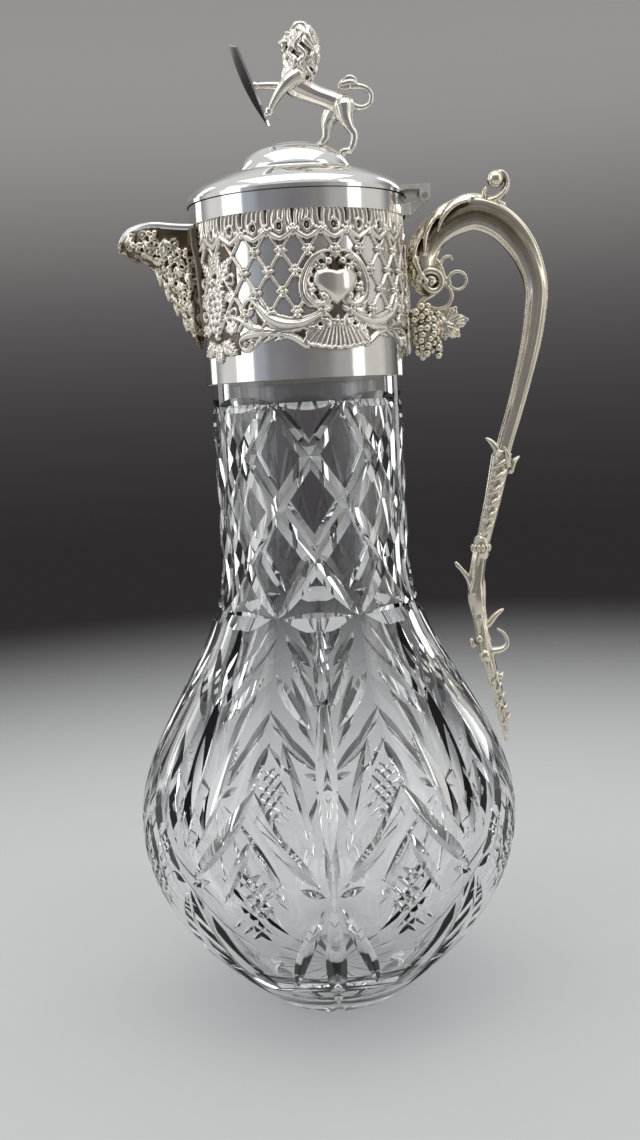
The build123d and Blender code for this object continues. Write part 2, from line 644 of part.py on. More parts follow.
def handle_saddle():
    """The curved plate on the overlay that carries the handle and the vine."""
    top = COLLAR_TOP - SADDLE_TOP_GAP
    plate = tube(OVERLAY_RADIUS, SADDLE_RADIUS, top - SADDLE_HEIGHT, top)
    spread = 2 * SADDLE_RADIUS * sin(radians(SADDLE_HALF_ANGLE))
    keep = Pos(SADDLE_RADIUS, 0, top - SADDLE_HEIGHT / 2) * Box(2 * SADDLE_RADIUS, spread, SADDLE_HEIGHT)
    return plate & keep


def collar_core():
    """All that lies within the saddle, to trim what is soldered on it."""
    return Pos(0, 0, COLLAR_TOP - COLLAR_HEIGHT / 2) * Cylinder(SADDLE_RADIUS, 3 * COLLAR_HEIGHT)


@cache
def handle_scroll():
    stations = arch_stations() + leg_stations(LEG)
    bar = oval_bar(stations, HANDLE_DEPTH_RATIO)
    x, z, thickness = stations[0]
    width = thickness * HANDLE_DEPTH_RATIO
    volute = Pos(x + 1.4, 0, z + 0.3) * Rot(90, 0, 0) * Cylinder(thickness * 0.6, width)
    return (bar + volute) - collar_core()


def thumb_scroll():
    """The ball and its curl on the crown of the handle."""
    stations = arch_stations()
    x, z, thickness = stations[6]
    crest = z + thickness / 2
    ball_z = crest + 7.9
    curl = limb([(x - 5.4, 0, crest + 0.6), (x - 1.4, 0, crest + 1.6), (x + 1.6, 0, crest + 3.8),
                 (x + THUMB_BALL_RADIUS - 0.4, 0, ball_z - 1.2)], [1.7, 1.3, 1.1, 0.9])
    return (curl + Pos(x - 0.2, 0, ball_z) * Sphere(THUMB_BALL_RADIUS)) - handle_scroll()


def handle_sheath():
    return oval_bar(leg_stations(SHEATH), HANDLE_DEPTH_RATIO) - handle_scroll() - handle_knuckle()


def handle_knuckle():
    """A ring of full round section, with flat ends against the sheath and the branch."""
    x, z = knuckle_place()
    return Pos(x, 0, z) * Cylinder(KNUCKLE_RING_WIDTH / 2, KNUCKLE_RING_HEIGHT)


def handle_branch():
    stations = branch_stations()
    branch = oval_bar(stations, 1.0)
    thorn_x, thorn_z, _ = stations[2]
    thorn = limb([(thorn_x - 1.5, 0, thorn_z), (thorn_x - 5.6, 0, thorn_z + 9.0)], [1.4, 0.5])
    fork_x, fork_z, _ = stations[4]
    twig = limb([(fork_x + 0.5, 0, fork_z + 5.0), (fork_x + 6.2, 0, fork_z + 11.5)], [1.4, 0.6])
    return branch + thorn + twig - handle_knuckle()


# ---------------------------------------------------------------- vine
def vine_root():
    """The place under the volute that the vine hangs from."""
    x, z, _ = arch_stations()[0]
    return x, z


@cache
def vine_tendril():
    x, z = vine_root()
    ring_x, ring_z = x + 10.0, z - 0.2
    ring = Pos(ring_x, 0, ring_z) * Rot(90, 0, 0) * Torus(TENDRIL_RING_RADIUS, TENDRIL_RADIUS)
    wire = [(x + 4.6, 0, z + 5.8), (ring_x - TENDRIL_RING_RADIUS, 0, ring_z), (x + 7.2, 0, z - 4.4),
            (x + 4.4, 0, z - 8.0), (x - 0.2, 0, z - 8.4)]
    return ring + limb(wire, [TENDRIL_RADIUS] * len(wire)) - handle_scroll()


@cache
def vine_leaf():
    root_x, root_z = vine_root()
    middle_x, middle_z = root_x + LEAF_OFFSET, root_z - LEAF_DROP
    points = []
    for index in range(4 * LEAF_LOBES):
        reach = LEAF_SIZE * (0.82 + 0.18 * cos(pi / 2 * index))
        angle = 2 * pi * index / (4 * LEAF_LOBES)
        points.append((middle_x + reach * cos(angle), middle_z + 0.75 * reach * sin(angle)))
    return side_plate(points, LEAF_THICKNESS)


def grape_cluster():
    x, z = vine_root()
    top = z - 8.2 - GRAPE_RADIUS
    core = limb([(x - 1.0, 0, top - 1.0), (x - 0.6, 0, top - 9.0), (x + 2.6, 0, top - 13.5)],
                [3.4, 3.0, GRAPE_RADIUS])
    cluster = core
    for row, count in enumerate((5, 4, 4, 3)):
        for index in range(count):
            angle = pi * (index + 0.5) / count + pi
            out = 3.0 + 0.3 * (row % 2)
            place = (x - 0.8 - out * cos(angle) * 0.9, out * sin(angle), top - 0.6 - 2.7 * row)
            cluster = cluster + Pos(*place) * Sphere(GRAPE_RADIUS)
            cluster = cluster + Pos(place[0], -place[1], place[2]) * Sphere(GRAPE_RADIUS)
    return cluster - collar_core() - vine_leaf() - vine_tendril()


# ---------------------------------------------------------------- lion and shield
# The lion is drawn in hundredths of its own height, about its forward foot.
LION_UNIT = LION_HEIGHT / 100


def lion_place(x, y, z):
    """A point of the lion's drawing as a place on the jug."""
    foot_x, foot_y = FORWARD_FOOT
    ground = boss_height(hypot(foot_x, foot_y))
    return foot_x + x * LION_UNIT, y * LION_UNIT, ground + z * LION_UNIT


def lion_limb(points, radii):
    return limb([lion_place(*point) for point in points], [radius * LION_UNIT for radius in radii])


def hind_leg(hip, knee, hock, foot):
    """A hind leg with its paw on the boss; foot is the paw's place as (x, y)."""
    joints = [lion_place(*point) for point in (hip, knee, hock)]
    for ahead in (-2 * LION_UNIT, 5 * LION_UNIT):
        x = foot[0] - ahead
        joints.append((x, foot[1], boss_height(hypot(x, foot[1])) + 2.2 * LION_UNIT))
    return limb(joints, [radius * LION_UNIT for radius in (7.5, 4.9, 2.9, 3.1, 2.7)])


@cache
def lion_body():
    trunk = lion_limb([(-11.4, 0, 50.9), (2.6, 0, 43.1), (21.3, 0, 29.6)], [11.9, 9.4, 9.1])
    mane = lion_limb([(-6.8, 0, 85.7), (-6.8, 0, 69.1), (-6.2, 0, 58.7)], [14.3, 13.8, 11.4])
    head = lion_limb([(-13.5, 0, 87.8), (-21.8, 0, 82.1)], [11.2, 5.7])
    forward_leg = hind_leg((14.5, 4.2, 30.1), (8.8, 7.3, 18.7), (9.9, 7.8, 10.9), FORWARD_FOOT)
    rear_leg = hind_leg((26.0, -4.2, 29.1), (22.3, -8.3, 21.8), (31.7, -8.8, 11.4), REAR_FOOT)
    upper_arm = lion_limb([(-13.5, 5.2, 55.8), (-26.0, 5.7, 50.9), (-47.3, 4.2, 51.4)], [6.8, 3.9, 3.1])
    lower_arm = lion_limb([(-13.5, -5.7, 53.2), (-27.0, -6.8, 42.9), (-36.9, -4.2, 28.6)], [6.8, 3.9, 3.1])
    figure = trunk + mane + head + forward_leg + rear_leg + upper_arm + lower_arm
    return figure - shield() - lid_cover() - pegs()


def lion_tail():
    tail = lion_limb([(29.1, 0, 32.7), (40.5, 0, 29.6), (46.8, 0, 36.4), (42.6, 0, 45.2), (31.7, 0, 48.3)],
                     [2.6, 2.1, 2.1, 2.3, 4.2])
    return tail - lion_body()


@cache
def shield():
    """A thin heater shield, leaning forward, that stands upright across the jug."""
    top = Vector(*lion_place(-68.6, 0, 86.0))
    foot = Vector(*lion_place(-38.7, 0, 18.4))
    half = SHIELD_WIDTH / 2
    height = (top - foot).length
    place = Plane(origin=top, x_dir=(0, 1, 0), z_dir=(foot - top).cross(Vector(0, 1, 0)))
    with BuildLine() as outline:
        Line((-half, -height * 0.12), (0, 0))
        Line((0, 0), (half, -height * 0.12))
        Spline((half, -height * 0.12), (half * 0.97, -height * 0.45), (0, -height))
        Spline((0, -height), (-half * 0.97, -height * 0.45), (-half, -height * 0.12))
    sign = 1 if place.y_dir.Z > 0 else -1
    flat = place if sign > 0 else Plane(origin=top, x_dir=(0, 1, 0), z_dir=-place.z_dir)
    return extrude(flat * make_face(outline.line), SHIELD_THICKNESS / 2, both=True)


def finial_pegs():
    return Compound(children=pegs())


def finial_nuts():
    """The nuts on the pegs, each shaped to the slope of the lid's underside."""
    nut = Pos(0, 0, -PEG_LENGTH / 2) * (Cylinder(NUT_RADIUS, PEG_LENGTH) - Cylinder(PEG_RADIUS, PEG_LENGTH))
    return Compound(children=[placed & lid_solid(LID_WALL) for placed in at_feet(nut)])


# ---------------------------------------------------------------- write every piece
PIECES = {
    "glass_body": glass_body, "neck_cement": neck_cement, "collar_tube": collar_tube,
    "pierced_overlay": pierced_overlay, "rim_ring": rim_ring, "spout_body": spout_body,
    "spout_lip": spout_lip, "handle_saddle": handle_saddle, "handle_scroll": handle_scroll,
    "thumb_scroll": thumb_scroll, "handle_sheath": handle_sheath, "handle_knuckle": handle_knuckle,
    "handle_branch": handle_branch, "vine_tendril": vine_tendril, "vine_leaf": vine_leaf,
    "grape_cluster": grape_cluster, "collar_hinge_leaf": collar_hinge_leaf, "hinge_pin": hinge_pin,
    "lid_cover": lid_cover, "lid_bezel": lid_bezel, "lid_hinge_leaf": lid_hinge_leaf,
    "lion_body": lion_body, "lion_tail": lion_tail, "shield": shield,
    "finial_pegs": finial_pegs, "finial_nuts": finial_nuts,
}

os.makedirs("parts", exist_ok=True)
for name, build in PIECES.items():
    save(build(), name)
for side, name in ((-1, "cartouche_near"), (1, "cartouche_far")):
    save(cartouche(side), name)
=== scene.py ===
# %% [markdown]
# # A claret jug in cut glass and silver plate
# A claret jug is a glass bottle with silver mounts: a collar cemented round the neck, a spout and a
# handle soldered to the collar, and a hinged lid with a small cast figure on top. The lesson builds
# the looks of one around a fixed frame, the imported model, whose pieces give every place and size.
# Lengths in the cells are in millimetres, as on a drawing, and become metres when a mesh is made.

# %% Load the frame
import json
from math import atan2, cos, degrees, exp, hypot, pi, radians, sin, tan

import bmesh
import bpy
import numpy as np
from mathutils import Matrix, Vector


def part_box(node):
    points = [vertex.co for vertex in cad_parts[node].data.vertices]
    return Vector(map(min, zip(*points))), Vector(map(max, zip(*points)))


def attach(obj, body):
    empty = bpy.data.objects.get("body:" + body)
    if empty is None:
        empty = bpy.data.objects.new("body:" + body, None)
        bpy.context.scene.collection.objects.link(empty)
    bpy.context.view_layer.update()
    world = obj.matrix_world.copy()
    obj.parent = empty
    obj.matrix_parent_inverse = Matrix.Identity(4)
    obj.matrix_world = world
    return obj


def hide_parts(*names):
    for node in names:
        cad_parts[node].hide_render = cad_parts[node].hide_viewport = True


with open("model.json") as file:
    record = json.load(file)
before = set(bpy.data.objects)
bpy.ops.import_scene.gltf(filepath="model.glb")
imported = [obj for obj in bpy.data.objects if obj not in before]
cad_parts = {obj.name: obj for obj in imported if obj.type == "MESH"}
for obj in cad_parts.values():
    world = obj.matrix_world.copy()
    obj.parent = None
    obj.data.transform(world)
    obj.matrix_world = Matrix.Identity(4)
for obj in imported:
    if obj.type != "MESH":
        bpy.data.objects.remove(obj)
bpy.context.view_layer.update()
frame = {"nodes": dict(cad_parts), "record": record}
MM = 0.001
print("nodes in the frame:", len(frame["nodes"]))

# %% [markdown]
# ## Sizes from the frame
# The frame already holds the real sizes, so they are read from its pieces instead of typed again.
# Only what a box can't tell, such as a wall's thickness, is a value of its own here.

# %% Read the main sizes
def box_mm(node):
    """The lowest and highest corner of a piece of the frame, in millimetres."""
    low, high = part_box(node)
    return low / MM, high / MM


GLASS_WALL = 5.0
BASE_THICKNESS = 10.0
FOOT_RADIUS = 21.5
BELLY_HEIGHT = 62.0      # height of the widest part
BELLY_FULLNESS = 2.05    # exponent of the curve from foot to belly
NECK_START = 148.0       # height at which the shoulder has become the straight neck
CEMENT = 0.8             # plaster between the neck and the collar
COLLAR_WALL = 1.0
BELLY_RADIUS = box_mm("glass_body")[1].x
GLASS_HEIGHT = box_mm("glass_body")[1].z
COLLAR_BOTTOM = box_mm("collar_tube")[0].z
COLLAR_TOP = box_mm("collar_tube")[1].z
COLLAR_RADIUS = box_mm("collar_tube")[1].x
NECK_RADIUS = COLLAR_RADIUS - COLLAR_WALL - CEMENT
OVERLAY_RADIUS = box_mm("pierced_overlay")[1].x
print("belly", round(2 * BELLY_RADIUS, 1), "mm across, neck", round(2 * NECK_RADIUS, 1), "mm across")

# %% [markdown]
# ## Making a piece
# Every piece is a mesh whose place is in its own points, so that the object itself stays at the
# origin. A few short functions keep that in one place: they make the mesh, keep what a modifier
# makes of it, and say which body of the jug a piece rides on, which plain piece it stands for and
# which finish it takes.

# %% Turn points and faces into a piece
def put_in_scene(name, data):
    """A new object in the scene that shows a mesh, a lamp or a camera."""
    placed = bpy.data.objects.new(name, data)
    bpy.context.scene.collection.objects.link(placed)
    return placed


def new_piece(name, points, faces, smooth=True):
    """A mesh object from points in millimetres."""
    mesh = bpy.data.meshes.new(name)
    mesh.from_pydata([Vector(point) * MM for point in points], [], faces)
    mesh.validate()
    mesh.shade_smooth() if smooth else mesh.shade_flat()
    return put_in_scene(name, mesh)


def face_outwards(mesh):
    """Turn the faces of closed shapes so that all of them face out."""
    tidy = bmesh.new()
    tidy.from_mesh(mesh)
    bmesh.ops.recalc_face_normals(tidy, faces=tidy.faces)
    tidy.to_mesh(mesh)
    tidy.free()


def keep_changes(piece):
    """Put what its modifiers make of a piece in the place of its mesh, and take them off."""
    bpy.context.view_layer.update()
    made = bpy.data.meshes.new_from_object(piece.evaluated_get(bpy.context.evaluated_depsgraph_get()))
    piece.modifiers.clear()
    piece.data = made
    return made


print("a piece of 1 mm is", MM, "m long in the scene")

# %% Keep the tarnish and settle a finished piece
def read_all(items, name, width, kind=np.float32):
    """One property of all points, edges or corners of a mesh, as an array with a row for each."""
    values = np.empty(len(items) * width, kind)
    items.foreach_get(name, values)
    return values.reshape(-1, width)


def write_hollow(mesh, values):
    """Keep on each point of a mesh how brown it is painted, from 0 to 1: how deep in a groove it lies, for
    the tarnish, and on some castings painted shade.
    """
    data = mesh.attributes.new("hollow", "FLOAT", "POINT").data
    data.foreach_set("value", values.astype(np.float32).ravel())


def settle(piece, body, slot, finish, *stands_for):
    """Give a finished piece its material, its body and the plain pieces that it replaces. Slot is not used.
    """
    piece.data.materials.clear()
    piece.data.materials.append(finish)
    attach(piece, body)
    for node in stands_for:
        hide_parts(node)
    triangles = sum(len(polygon.vertices) - 2 for polygon in piece.data.polygons)
    print(f"{piece.name}: {triangles} triangles, rides on {body}")


print("plain pieces to finish or replace:", len(frame["nodes"]))

# %% [markdown]
# ## Colours and nodes
# Colours are written as the hex values a paint program shows. Those are sRGB, and the renderer works
# in linear light, so one function converts them. Another adds a node, sets it and links it.

# %% Helpers for materials
def linear(hex_colour):
    """An sRGB hex colour as linear RGBA."""
    values = [int(hex_colour[index:index + 2], 16) / 255 for index in (1, 3, 5)]
    lit = [value / 12.92 if value <= 0.04045 else ((value + 0.055) / 1.055) ** 2.4 for value in values]
    return (*lit, 1.0)


def add_node(tree, kind, inputs=None, **settings):
    """Add a node. Settings are its own options; inputs holds values, or nodes or outputs to link from."""
    added = tree.nodes.new(kind)
    for name, value in settings.items():
        setattr(added, name, value)
    for socket, value in (inputs or {}).items():
        if isinstance(value, bpy.types.Node):
            value = value.outputs[0]
        if isinstance(value, bpy.types.NodeSocket):
            tree.links.new(value, added.inputs[socket])
        else:
            added.inputs[socket].default_value = value
    return added


def new_material(name):
    """An empty material and its node tree."""
    material = bpy.data.materials.new(name)
    material.use_nodes = True
    material.node_tree.nodes.clear()
    return material, material.node_tree


print("mid grey in linear light:", round(linear("#808080")[0], 3))

# %% [markdown]
# ## Lead crystal
# The glass is full lead crystal, blown, cut on a wheel and polished. It bends light more than window
# glass does, with an index of refraction near 1.55, and is clear and smooth. A renderer would give
# such glass a black shadow, so rays from the lamps pass straight through, with a slight grey.

# %% Lead crystal
def lead_crystal():
    material, tree = new_material("polished_lead_crystal")
    glass = add_node(tree, "ShaderNodeBsdfPrincipled",
                     {"Base Color": linear("#FCFDFD"), "Roughness": 0.0, "IOR": 1.55,
                      "Transmission Weight": 1.0})
    clear = add_node(tree, "ShaderNodeBsdfTransparent", {"Color": linear("#E4E8E8")})
    path = add_node(tree, "ShaderNodeLightPath")
    mixed = add_node(tree, "ShaderNodeMixShader", {0: path.outputs["Is Shadow Ray"], 1: glass, 2: clear})
    add_node(tree, "ShaderNodeOutputMaterial", {"Surface": mixed})
    return material


CRYSTAL = lead_crystal()
print("made", CRYSTAL.name)

# %% [markdown]
# ## The blown shape
# The bottle is round: one curve from the foot out to the belly, a cosine from the belly in to the
# neck, then a straight neck. It could be drawn point by point, but two formulas keep it smooth and
# also say which way the surface faces, which the cuts and the shading need later.

# %% The outer and inner curve of the glass
def glass_radius(z):
    if z <= BELLY_HEIGHT:
        below = 1 - max(z, 0) / BELLY_HEIGHT
        return FOOT_RADIUS + (BELLY_RADIUS - FOOT_RADIUS) * (1 - below ** BELLY_FULLNESS)
    if z >= NECK_START:
        return NECK_RADIUS
    turn = pi * (z - BELLY_HEIGHT) / (NECK_START - BELLY_HEIGHT)
    return NECK_RADIUS + (BELLY_RADIUS - NECK_RADIUS) * (1 + cos(turn)) / 2


def glass_slope(z):
    """How fast the radius grows with height."""
    step = 0.05
    return (glass_radius(z + step) - glass_radius(z - step)) / (2 * step)


def bore_radius(z):
    return glass_radius(z) - GLASS_WALL * hypot(1, glass_slope(z))


def on_glass(angle, z, out=0.0):
    """The place on the glass at an angle in degrees and a height, and the way the surface faces."""
    turn = radians(angle)
    slope = glass_slope(z)
    facing = Vector((cos(turn), sin(turn), -slope)).normalized()
    radius = glass_radius(z)
    return Vector((radius * cos(turn), radius * sin(turn), z)) + facing * out, facing


print("the belly is", round(glass_radius(BELLY_HEIGHT), 1), "mm in radius")

# %% Spin the bottle
ROUND = 192          # faces round the bottle


def spun(rows, count):
    """Points and faces of a closed form turned about the axis, from rows of (radius, height)."""
    points, faces, rings = [], [], []
    for radius, z in rows:
        if radius < 1e-6:
            rings.append([len(points)])
            points.append((0, 0, z))
            continue
        rings.append(list(range(len(points), len(points) + count)))
        points += [(radius * cos(2 * pi * i / count), radius * sin(2 * pi * i / count),
                    z) for i in range(count)]
    for lower, upper in zip(rings, rings[1:]):
        for i in range(count):
            j = (i + 1) % count
            if len(lower) == 1:
                faces.append((lower[0], upper[j], upper[i]))
            elif len(upper) == 1:
                faces.append((lower[i], lower[j], upper[0]))
            else:
                faces.append((lower[i], lower[j], upper[j], upper[i]))
    return points, faces


def blown_bottle():
    body_rows = [NECK_START * step / 96 for step in range(97)]
    neck_rows = [NECK_START + (GLASS_HEIGHT - NECK_START) * step / 20 for step in range(1, 21)]
    outer = [(glass_radius(z), z) for z in body_rows + neck_rows]
    floor_edge = BASE_THICKNESS + 0.22 * (BELLY_HEIGHT - BASE_THICKNESS)
    inner = [(NECK_RADIUS - GLASS_WALL, GLASS_HEIGHT), (NECK_RADIUS - GLASS_WALL, NECK_START)]
    inner += [(bore_radius(z), z) for z in np.linspace(NECK_START, floor_edge, 60)[1:]]
    rim = bore_radius(floor_edge)
    for step in range(1, 16):
        share = 1 - step / 15
        inner.append((rim * share, BASE_THICKNESS + (floor_edge - BASE_THICKNESS) * share ** 2.6))
    inner[-1] = (0, BASE_THICKNESS)
    points, faces = spun([(0, 0)] + outer + inner, ROUND)
    return new_piece("cut_glass", points, faces)


bottle = blown_bottle()
print("the blown bottle has", len(bottle.data.polygons), "faces")

# %% [markdown]
# ## Mitre cuts
# A cutter holds the glass against a wheel with a V edge. The wheel leaves a groove with two flat
# flanks that is deepest in the middle and runs out to a point at both ends. So each cut is made as
# the wheel makes it: a three-sided bar that dips into the surface, taken away with a Boolean. The
# flanks stay truly flat, and that is what makes cut glass sparkle.

# %% One mitre cut as a three-sided bar
ABOVE = 1.2          # how far a bar stands out of the glass
RUN_OUT = 0.02       # how far its edge has left the glass at either end


def skin(count, around):
    """Faces of a closed bar: between neighbouring rings of points, and over both its ends."""
    faces = []
    for low in range(0, (count - 1) * around, around):
        for index in range(around):
            after = (index + 1) % around
            faces.append((low + index, low + after, low + around + after, low + around + index))
    last = (count - 1) * around
    return faces + [tuple(reversed(range(around))), tuple(range(last, last + around))]


def mitre_bar(path, depth, half_angle=55, fullness=2.0, steps=18):
    """Points and faces of a cutter along a path of (angle, height) on the glass."""
    along = [0.0]
    for (a0, z0), (a1, z1) in zip(path, path[1:]):
        across = radians(a1 - a0) * glass_radius((z0 + z1) / 2)
        along.append(along[-1] + hypot(across, z1 - z0))
    shares = np.linspace(0, 1, steps + 1)
    angles = np.interp(shares * along[-1], along, [place[0] for place in path])
    heights = np.interp(shares * along[-1], along, [place[1] for place in path])
    middles = [on_glass(a, z) for a, z in zip(angles, heights)]
    points = []
    for index, (share, (middle, facing)) in enumerate(zip(shares, middles)):
        ahead = middles[min(index + 1, steps)][0] - middles[max(index - 1, 0)][0]
        across = ahead.cross(facing).normalized()
        dip = depth * (1 - abs(2 * share - 1) ** fullness) - RUN_OUT
        reach = (ABOVE + dip) * tan(radians(half_angle))
        points += [middle - facing * dip, middle + facing * ABOVE + across * reach,
                   middle + facing * ABOVE - across * reach]
    return points, skin(steps + 1, 3)


print("one bar has", len(mitre_bar([(0, 80), (0, 120)], 1.5)[0]), "points")

# %% Take a set of bars away from the bottle
def joined(bars):
    """Many point and face lists as one."""
    points, faces = [], []
    for bar_points, bar_faces in bars:
        faces += [tuple(corner + len(points) for corner in face) for face in bar_faces]
        points += bar_points
    return points, faces


def two_slots(mesh):
    """Room for two materials: one for the round surface and one for the cuts."""
    mesh.materials.append(None)
    mesh.materials.append(None)


def cut_away(bars, label):
    """Take a set of bars that don't cross each other away from the bottle."""
    cutter = new_piece("cutter", *joined(bars), smooth=False)
    two_slots(cutter.data)
    for polygon in cutter.data.polygons:
        polygon.material_index = 1
    face_outwards(cutter.data)
    change = bottle.modifiers.new("cut", "BOOLEAN")
    change.operation = "DIFFERENCE"
    change.solver = "MANIFOLD"
    change.object = cutter
    made = keep_changes(bottle)
    bpy.data.objects.remove(cutter)
    print(f"{label}: {len(bars)} cuts, now {len(made.polygons)} faces")


two_slots(bottle.data)
print("the bottle has", len(bottle.data.polygons), "faces before it is cut")

# %% [markdown]
# ## The pattern
# The bottle is cut in eight equal parts. Round the neck, mitres wind both ways and cross as
# diamonds between two rows of short level cuts, and end between one level cut and the next. On the
# body each part has a palm of five blades under a small fan, with pointed arches and fine crossed
# lines between one palm and the next, and rays under the foot. Cuts that cross go into different
# sets, since a set is taken away at once.

# %% Cut the neck
SECTORS = 8
SECTOR = 360 / SECTORS
FIRST_SECTOR = -90.0     # the first motif faces the front of the jug
NECK_CUT_DEPTH = 1.75
SCALLOP_DEPTH = 1.8
SCALLOP_HALF_HEIGHT = 2.4
SCALLOP_ROWS = (132.3, COLLAR_BOTTOM - 7.0)
NECK_CUT_TURN = 45.0     # a mitre winds this far to each side between the two rows


def sector_angles():
    return [FIRST_SECTOR + index * SECTOR for index in range(SECTORS)]


def cut_round(label, cuts):
    """Take the same cuts away from every part. Each is a path of (angle, height) about the middle of
    the part, and then the depth, half angle, fullness and steps of its bar."""
    bars = [mitre_bar([(middle + angle, z) for angle, z in path], *how)
            for middle in sector_angles() for path, *how in cuts]
    cut_away(bars, label)


WEDGE_FACES = [(0, 1, 2), (5, 4, 3), (0, 3, 4, 1), (1, 4, 5, 2), (2, 5, 3, 0)]


def level_bar(angle, z):
    """A straight bar across the neck, as a wheel held level cuts it."""
    outer = ABOVE + SCALLOP_DEPTH
    spread = outer * SCALLOP_HALF_HEIGHT / SCALLOP_DEPTH
    bottom = glass_radius(z) - SCALLOP_DEPTH
    half = 0.97 * bottom * tan(pi / SECTORS)
    turn = Matrix.Rotation(radians(angle), 3, "Z")
    ends = []
    for y in (-half, half):
        ends += [turn @ Vector(corner) for corner in
                 ((bottom, y, z), (bottom + outer, y, z - spread), (bottom + outer, y, z + spread))]
    return ends, WEDGE_FACES


low_row, high_row = SCALLOP_ROWS
for hand, way in ((1, "one way"), (-1, "the other way")):
    winding = [(SECTOR / 2 - hand * NECK_CUT_TURN, low_row), (SECTOR / 2, (low_row + high_row) / 2),
               (SECTOR / 2 + hand * NECK_CUT_TURN, high_row)]
    cut_round("mitres that wind " + way, [(winding, NECK_CUT_DEPTH, 54, 9.0, 40)])
cut_away([level_bar(angle, z) for angle in sector_angles() for z in SCALLOP_ROWS], "level cuts")

# %% Cut the fans and palms
# Each blade is its foot and its tip as (angle, height), its depth and how blunt its ends are.
FAN = [[(0, 107.0), (0, 130.0)], [(2.5, 106.0), (13.0, 122.5)], [(5.0, 101.5), (20.0, 116.5)]]
PALM = [[(0, 65.0), (0, 112.4)], [(4.2, 66.0), (14.5, 98.5)], [(2.6, 56.5), (21.0, 78.0)]]
FAN_DEPTH = (1.7, 1.4, 1.4)
PALM_DEPTH = (2.2, 1.9, 1.7)
for blade in range(3):
    blades = [([(side * angle, z) for angle, z in table[blade]], depth[blade], 57, 2.2, 20)
              for side in ((1,) if blade == 0 else (-1, 1))
              for table, depth in ((FAN, FAN_DEPTH), (PALM, PALM_DEPTH))]
    cut_round(f"blades {blade} from the middle", blades)

# %% Cut the arches, the stars and the fine lines
ARCHES = (((7.0, 59.0), 86.0), ((12.5, 50.0), 72.0))      # the foot of a leg, and the arch's height
HUB = 53.5                                                # where the cuts of the lower star meet
for side in (-1, 1):
    cut_round("arch legs", [([(SECTOR / 2 - side * (SECTOR / 2 - foot), low), (SECTOR / 2 + side, top)],
                             1.5, 55, 2.4, 16) for (foot, low), top in ARCHES])
cut_round("rays down to the foot", [([(0, HUB - 1.0), (0, 5.0)], 2.6, 52, 2.0, 24)])
for side in (-1, 1):
    cut_round("long cuts beside the rays",
              [([(side * 1.6, HUB - 2.0), (side * 17.5, 17.0)], 1.6, 55, 2.2, 18),
               ([(side * 1.6, HUB + 0.6), (side * 9.0, HUB + 3.4)], 1.0, 55, 2.0, 8)])

LINE_PITCH = 4.3
CROSSED_HALF_HEIGHT = 16.0
CROSSED_HALF_WIDTH = 10.0
CROSSED_Z = 50.0


def crossed_lines(lean):
    """Fine lines that lean one way and fill a diamond between two palms."""
    per_degree = radians(1) * glass_radius(CROSSED_Z)
    cuts = []
    for line in (-2, -1, 0, 1, 2):
        shift = line * LINE_PITCH
        half = CROSSED_HALF_WIDTH * (1 - abs(shift) / (CROSSED_HALF_HEIGHT * 0.8))
        ends = [(SECTOR / 2 + across / per_degree, CROSSED_Z + shift + lean * across * 0.9)
                for across in (-half, half)]
        cuts.append((ends, 0.8, 52, 3.0, 10))
    return cuts


for lean in (-1, 1):
    cut_round("fine lines", crossed_lines(lean))

# %% Cut the star under the foot
RAYS = 16
RAY_DEPTH = 2.4
RAY_HUB = 4.0


def foot_ray(angle):
    """A V that deepens from the hub outwards under the foot."""
    far = FOOT_RADIUS + 8.0
    deep = RAY_DEPTH * (far - RAY_HUB) / (FOOT_RADIUS + 6.0 - RAY_HUB)
    turn = Matrix.Rotation(radians(angle), 3, "Z")
    corners = []
    for x, top in ((RAY_HUB - 1.5, 0.0), (far, deep)):
        wide = top + ABOVE
        corners += [turn @ Vector(corner) for corner in ((x, 0, top), (x, -wide, -ABOVE), (x, wide, -ABOVE))]
    return corners, WEDGE_FACES


for first in (0, 1):
    rays = [foot_ray(FIRST_SECTOR + (2 * index + first) * 360 / RAYS) for index in range(RAYS // 2)]
    cut_away(rays, "rays under the foot")

# %% [markdown]
# ## Shading the cuts
# The uncut surface should look perfectly round although its mesh has flat faces, and each cut should
# keep its crisp flanks. So the edges where a cut meets the surface are marked sharp, and on the
# round surface every corner gets the direction that the formula gives, instead of an average.

# %% Give the round surface its exact direction
def polish(piece):
    mesh = piece.data
    mesh.shade_smooth()
    mesh.set_sharp_from_angle(angle=radians(14))
    directions = read_all(mesh.corner_normals, "vector", 3)
    corner_point = read_all(mesh.loops, "vertex_index", 1, np.int32)[:, 0]
    places = read_all(mesh.vertices, "co", 3)[corner_point] / MM
    material = np.repeat([polygon.material_index for polygon in mesh.polygons],
                         [polygon.loop_total for polygon in mesh.polygons])
    radius = np.hypot(places[:, 0], places[:, 1])
    height = places[:, 2]
    table_z = np.linspace(0, GLASS_HEIGHT, 2000)
    outer_slope = np.interp(height, table_z, [glass_slope(z) for z in table_z])
    outer_radius = np.interp(height, table_z, [glass_radius(z) for z in table_z])
    away = np.maximum(radius, 1e-6)
    facing = np.stack([places[:, 0] / away, places[:, 1] / away, -outer_slope], axis=1)
    facing /= np.linalg.norm(facing, axis=1)[:, None]
    on_surface = (material == 0) & (abs(radius - outer_radius) < 0.1)
    on_surface &= (height > 0.3) & (height < GLASS_HEIGHT - 1)
    on_surface &= (directions * facing).sum(axis=1) > 0.9
    directions[on_surface] = facing[on_surface]
    mesh.normals_split_custom_set(directions)
    print("corners with an exact direction:", int(on_surface.sum()), "of", len(directions))


polish(bottle)
settle(bottle, "jug", "crystal_glass", CRYSTAL, "glass_body")
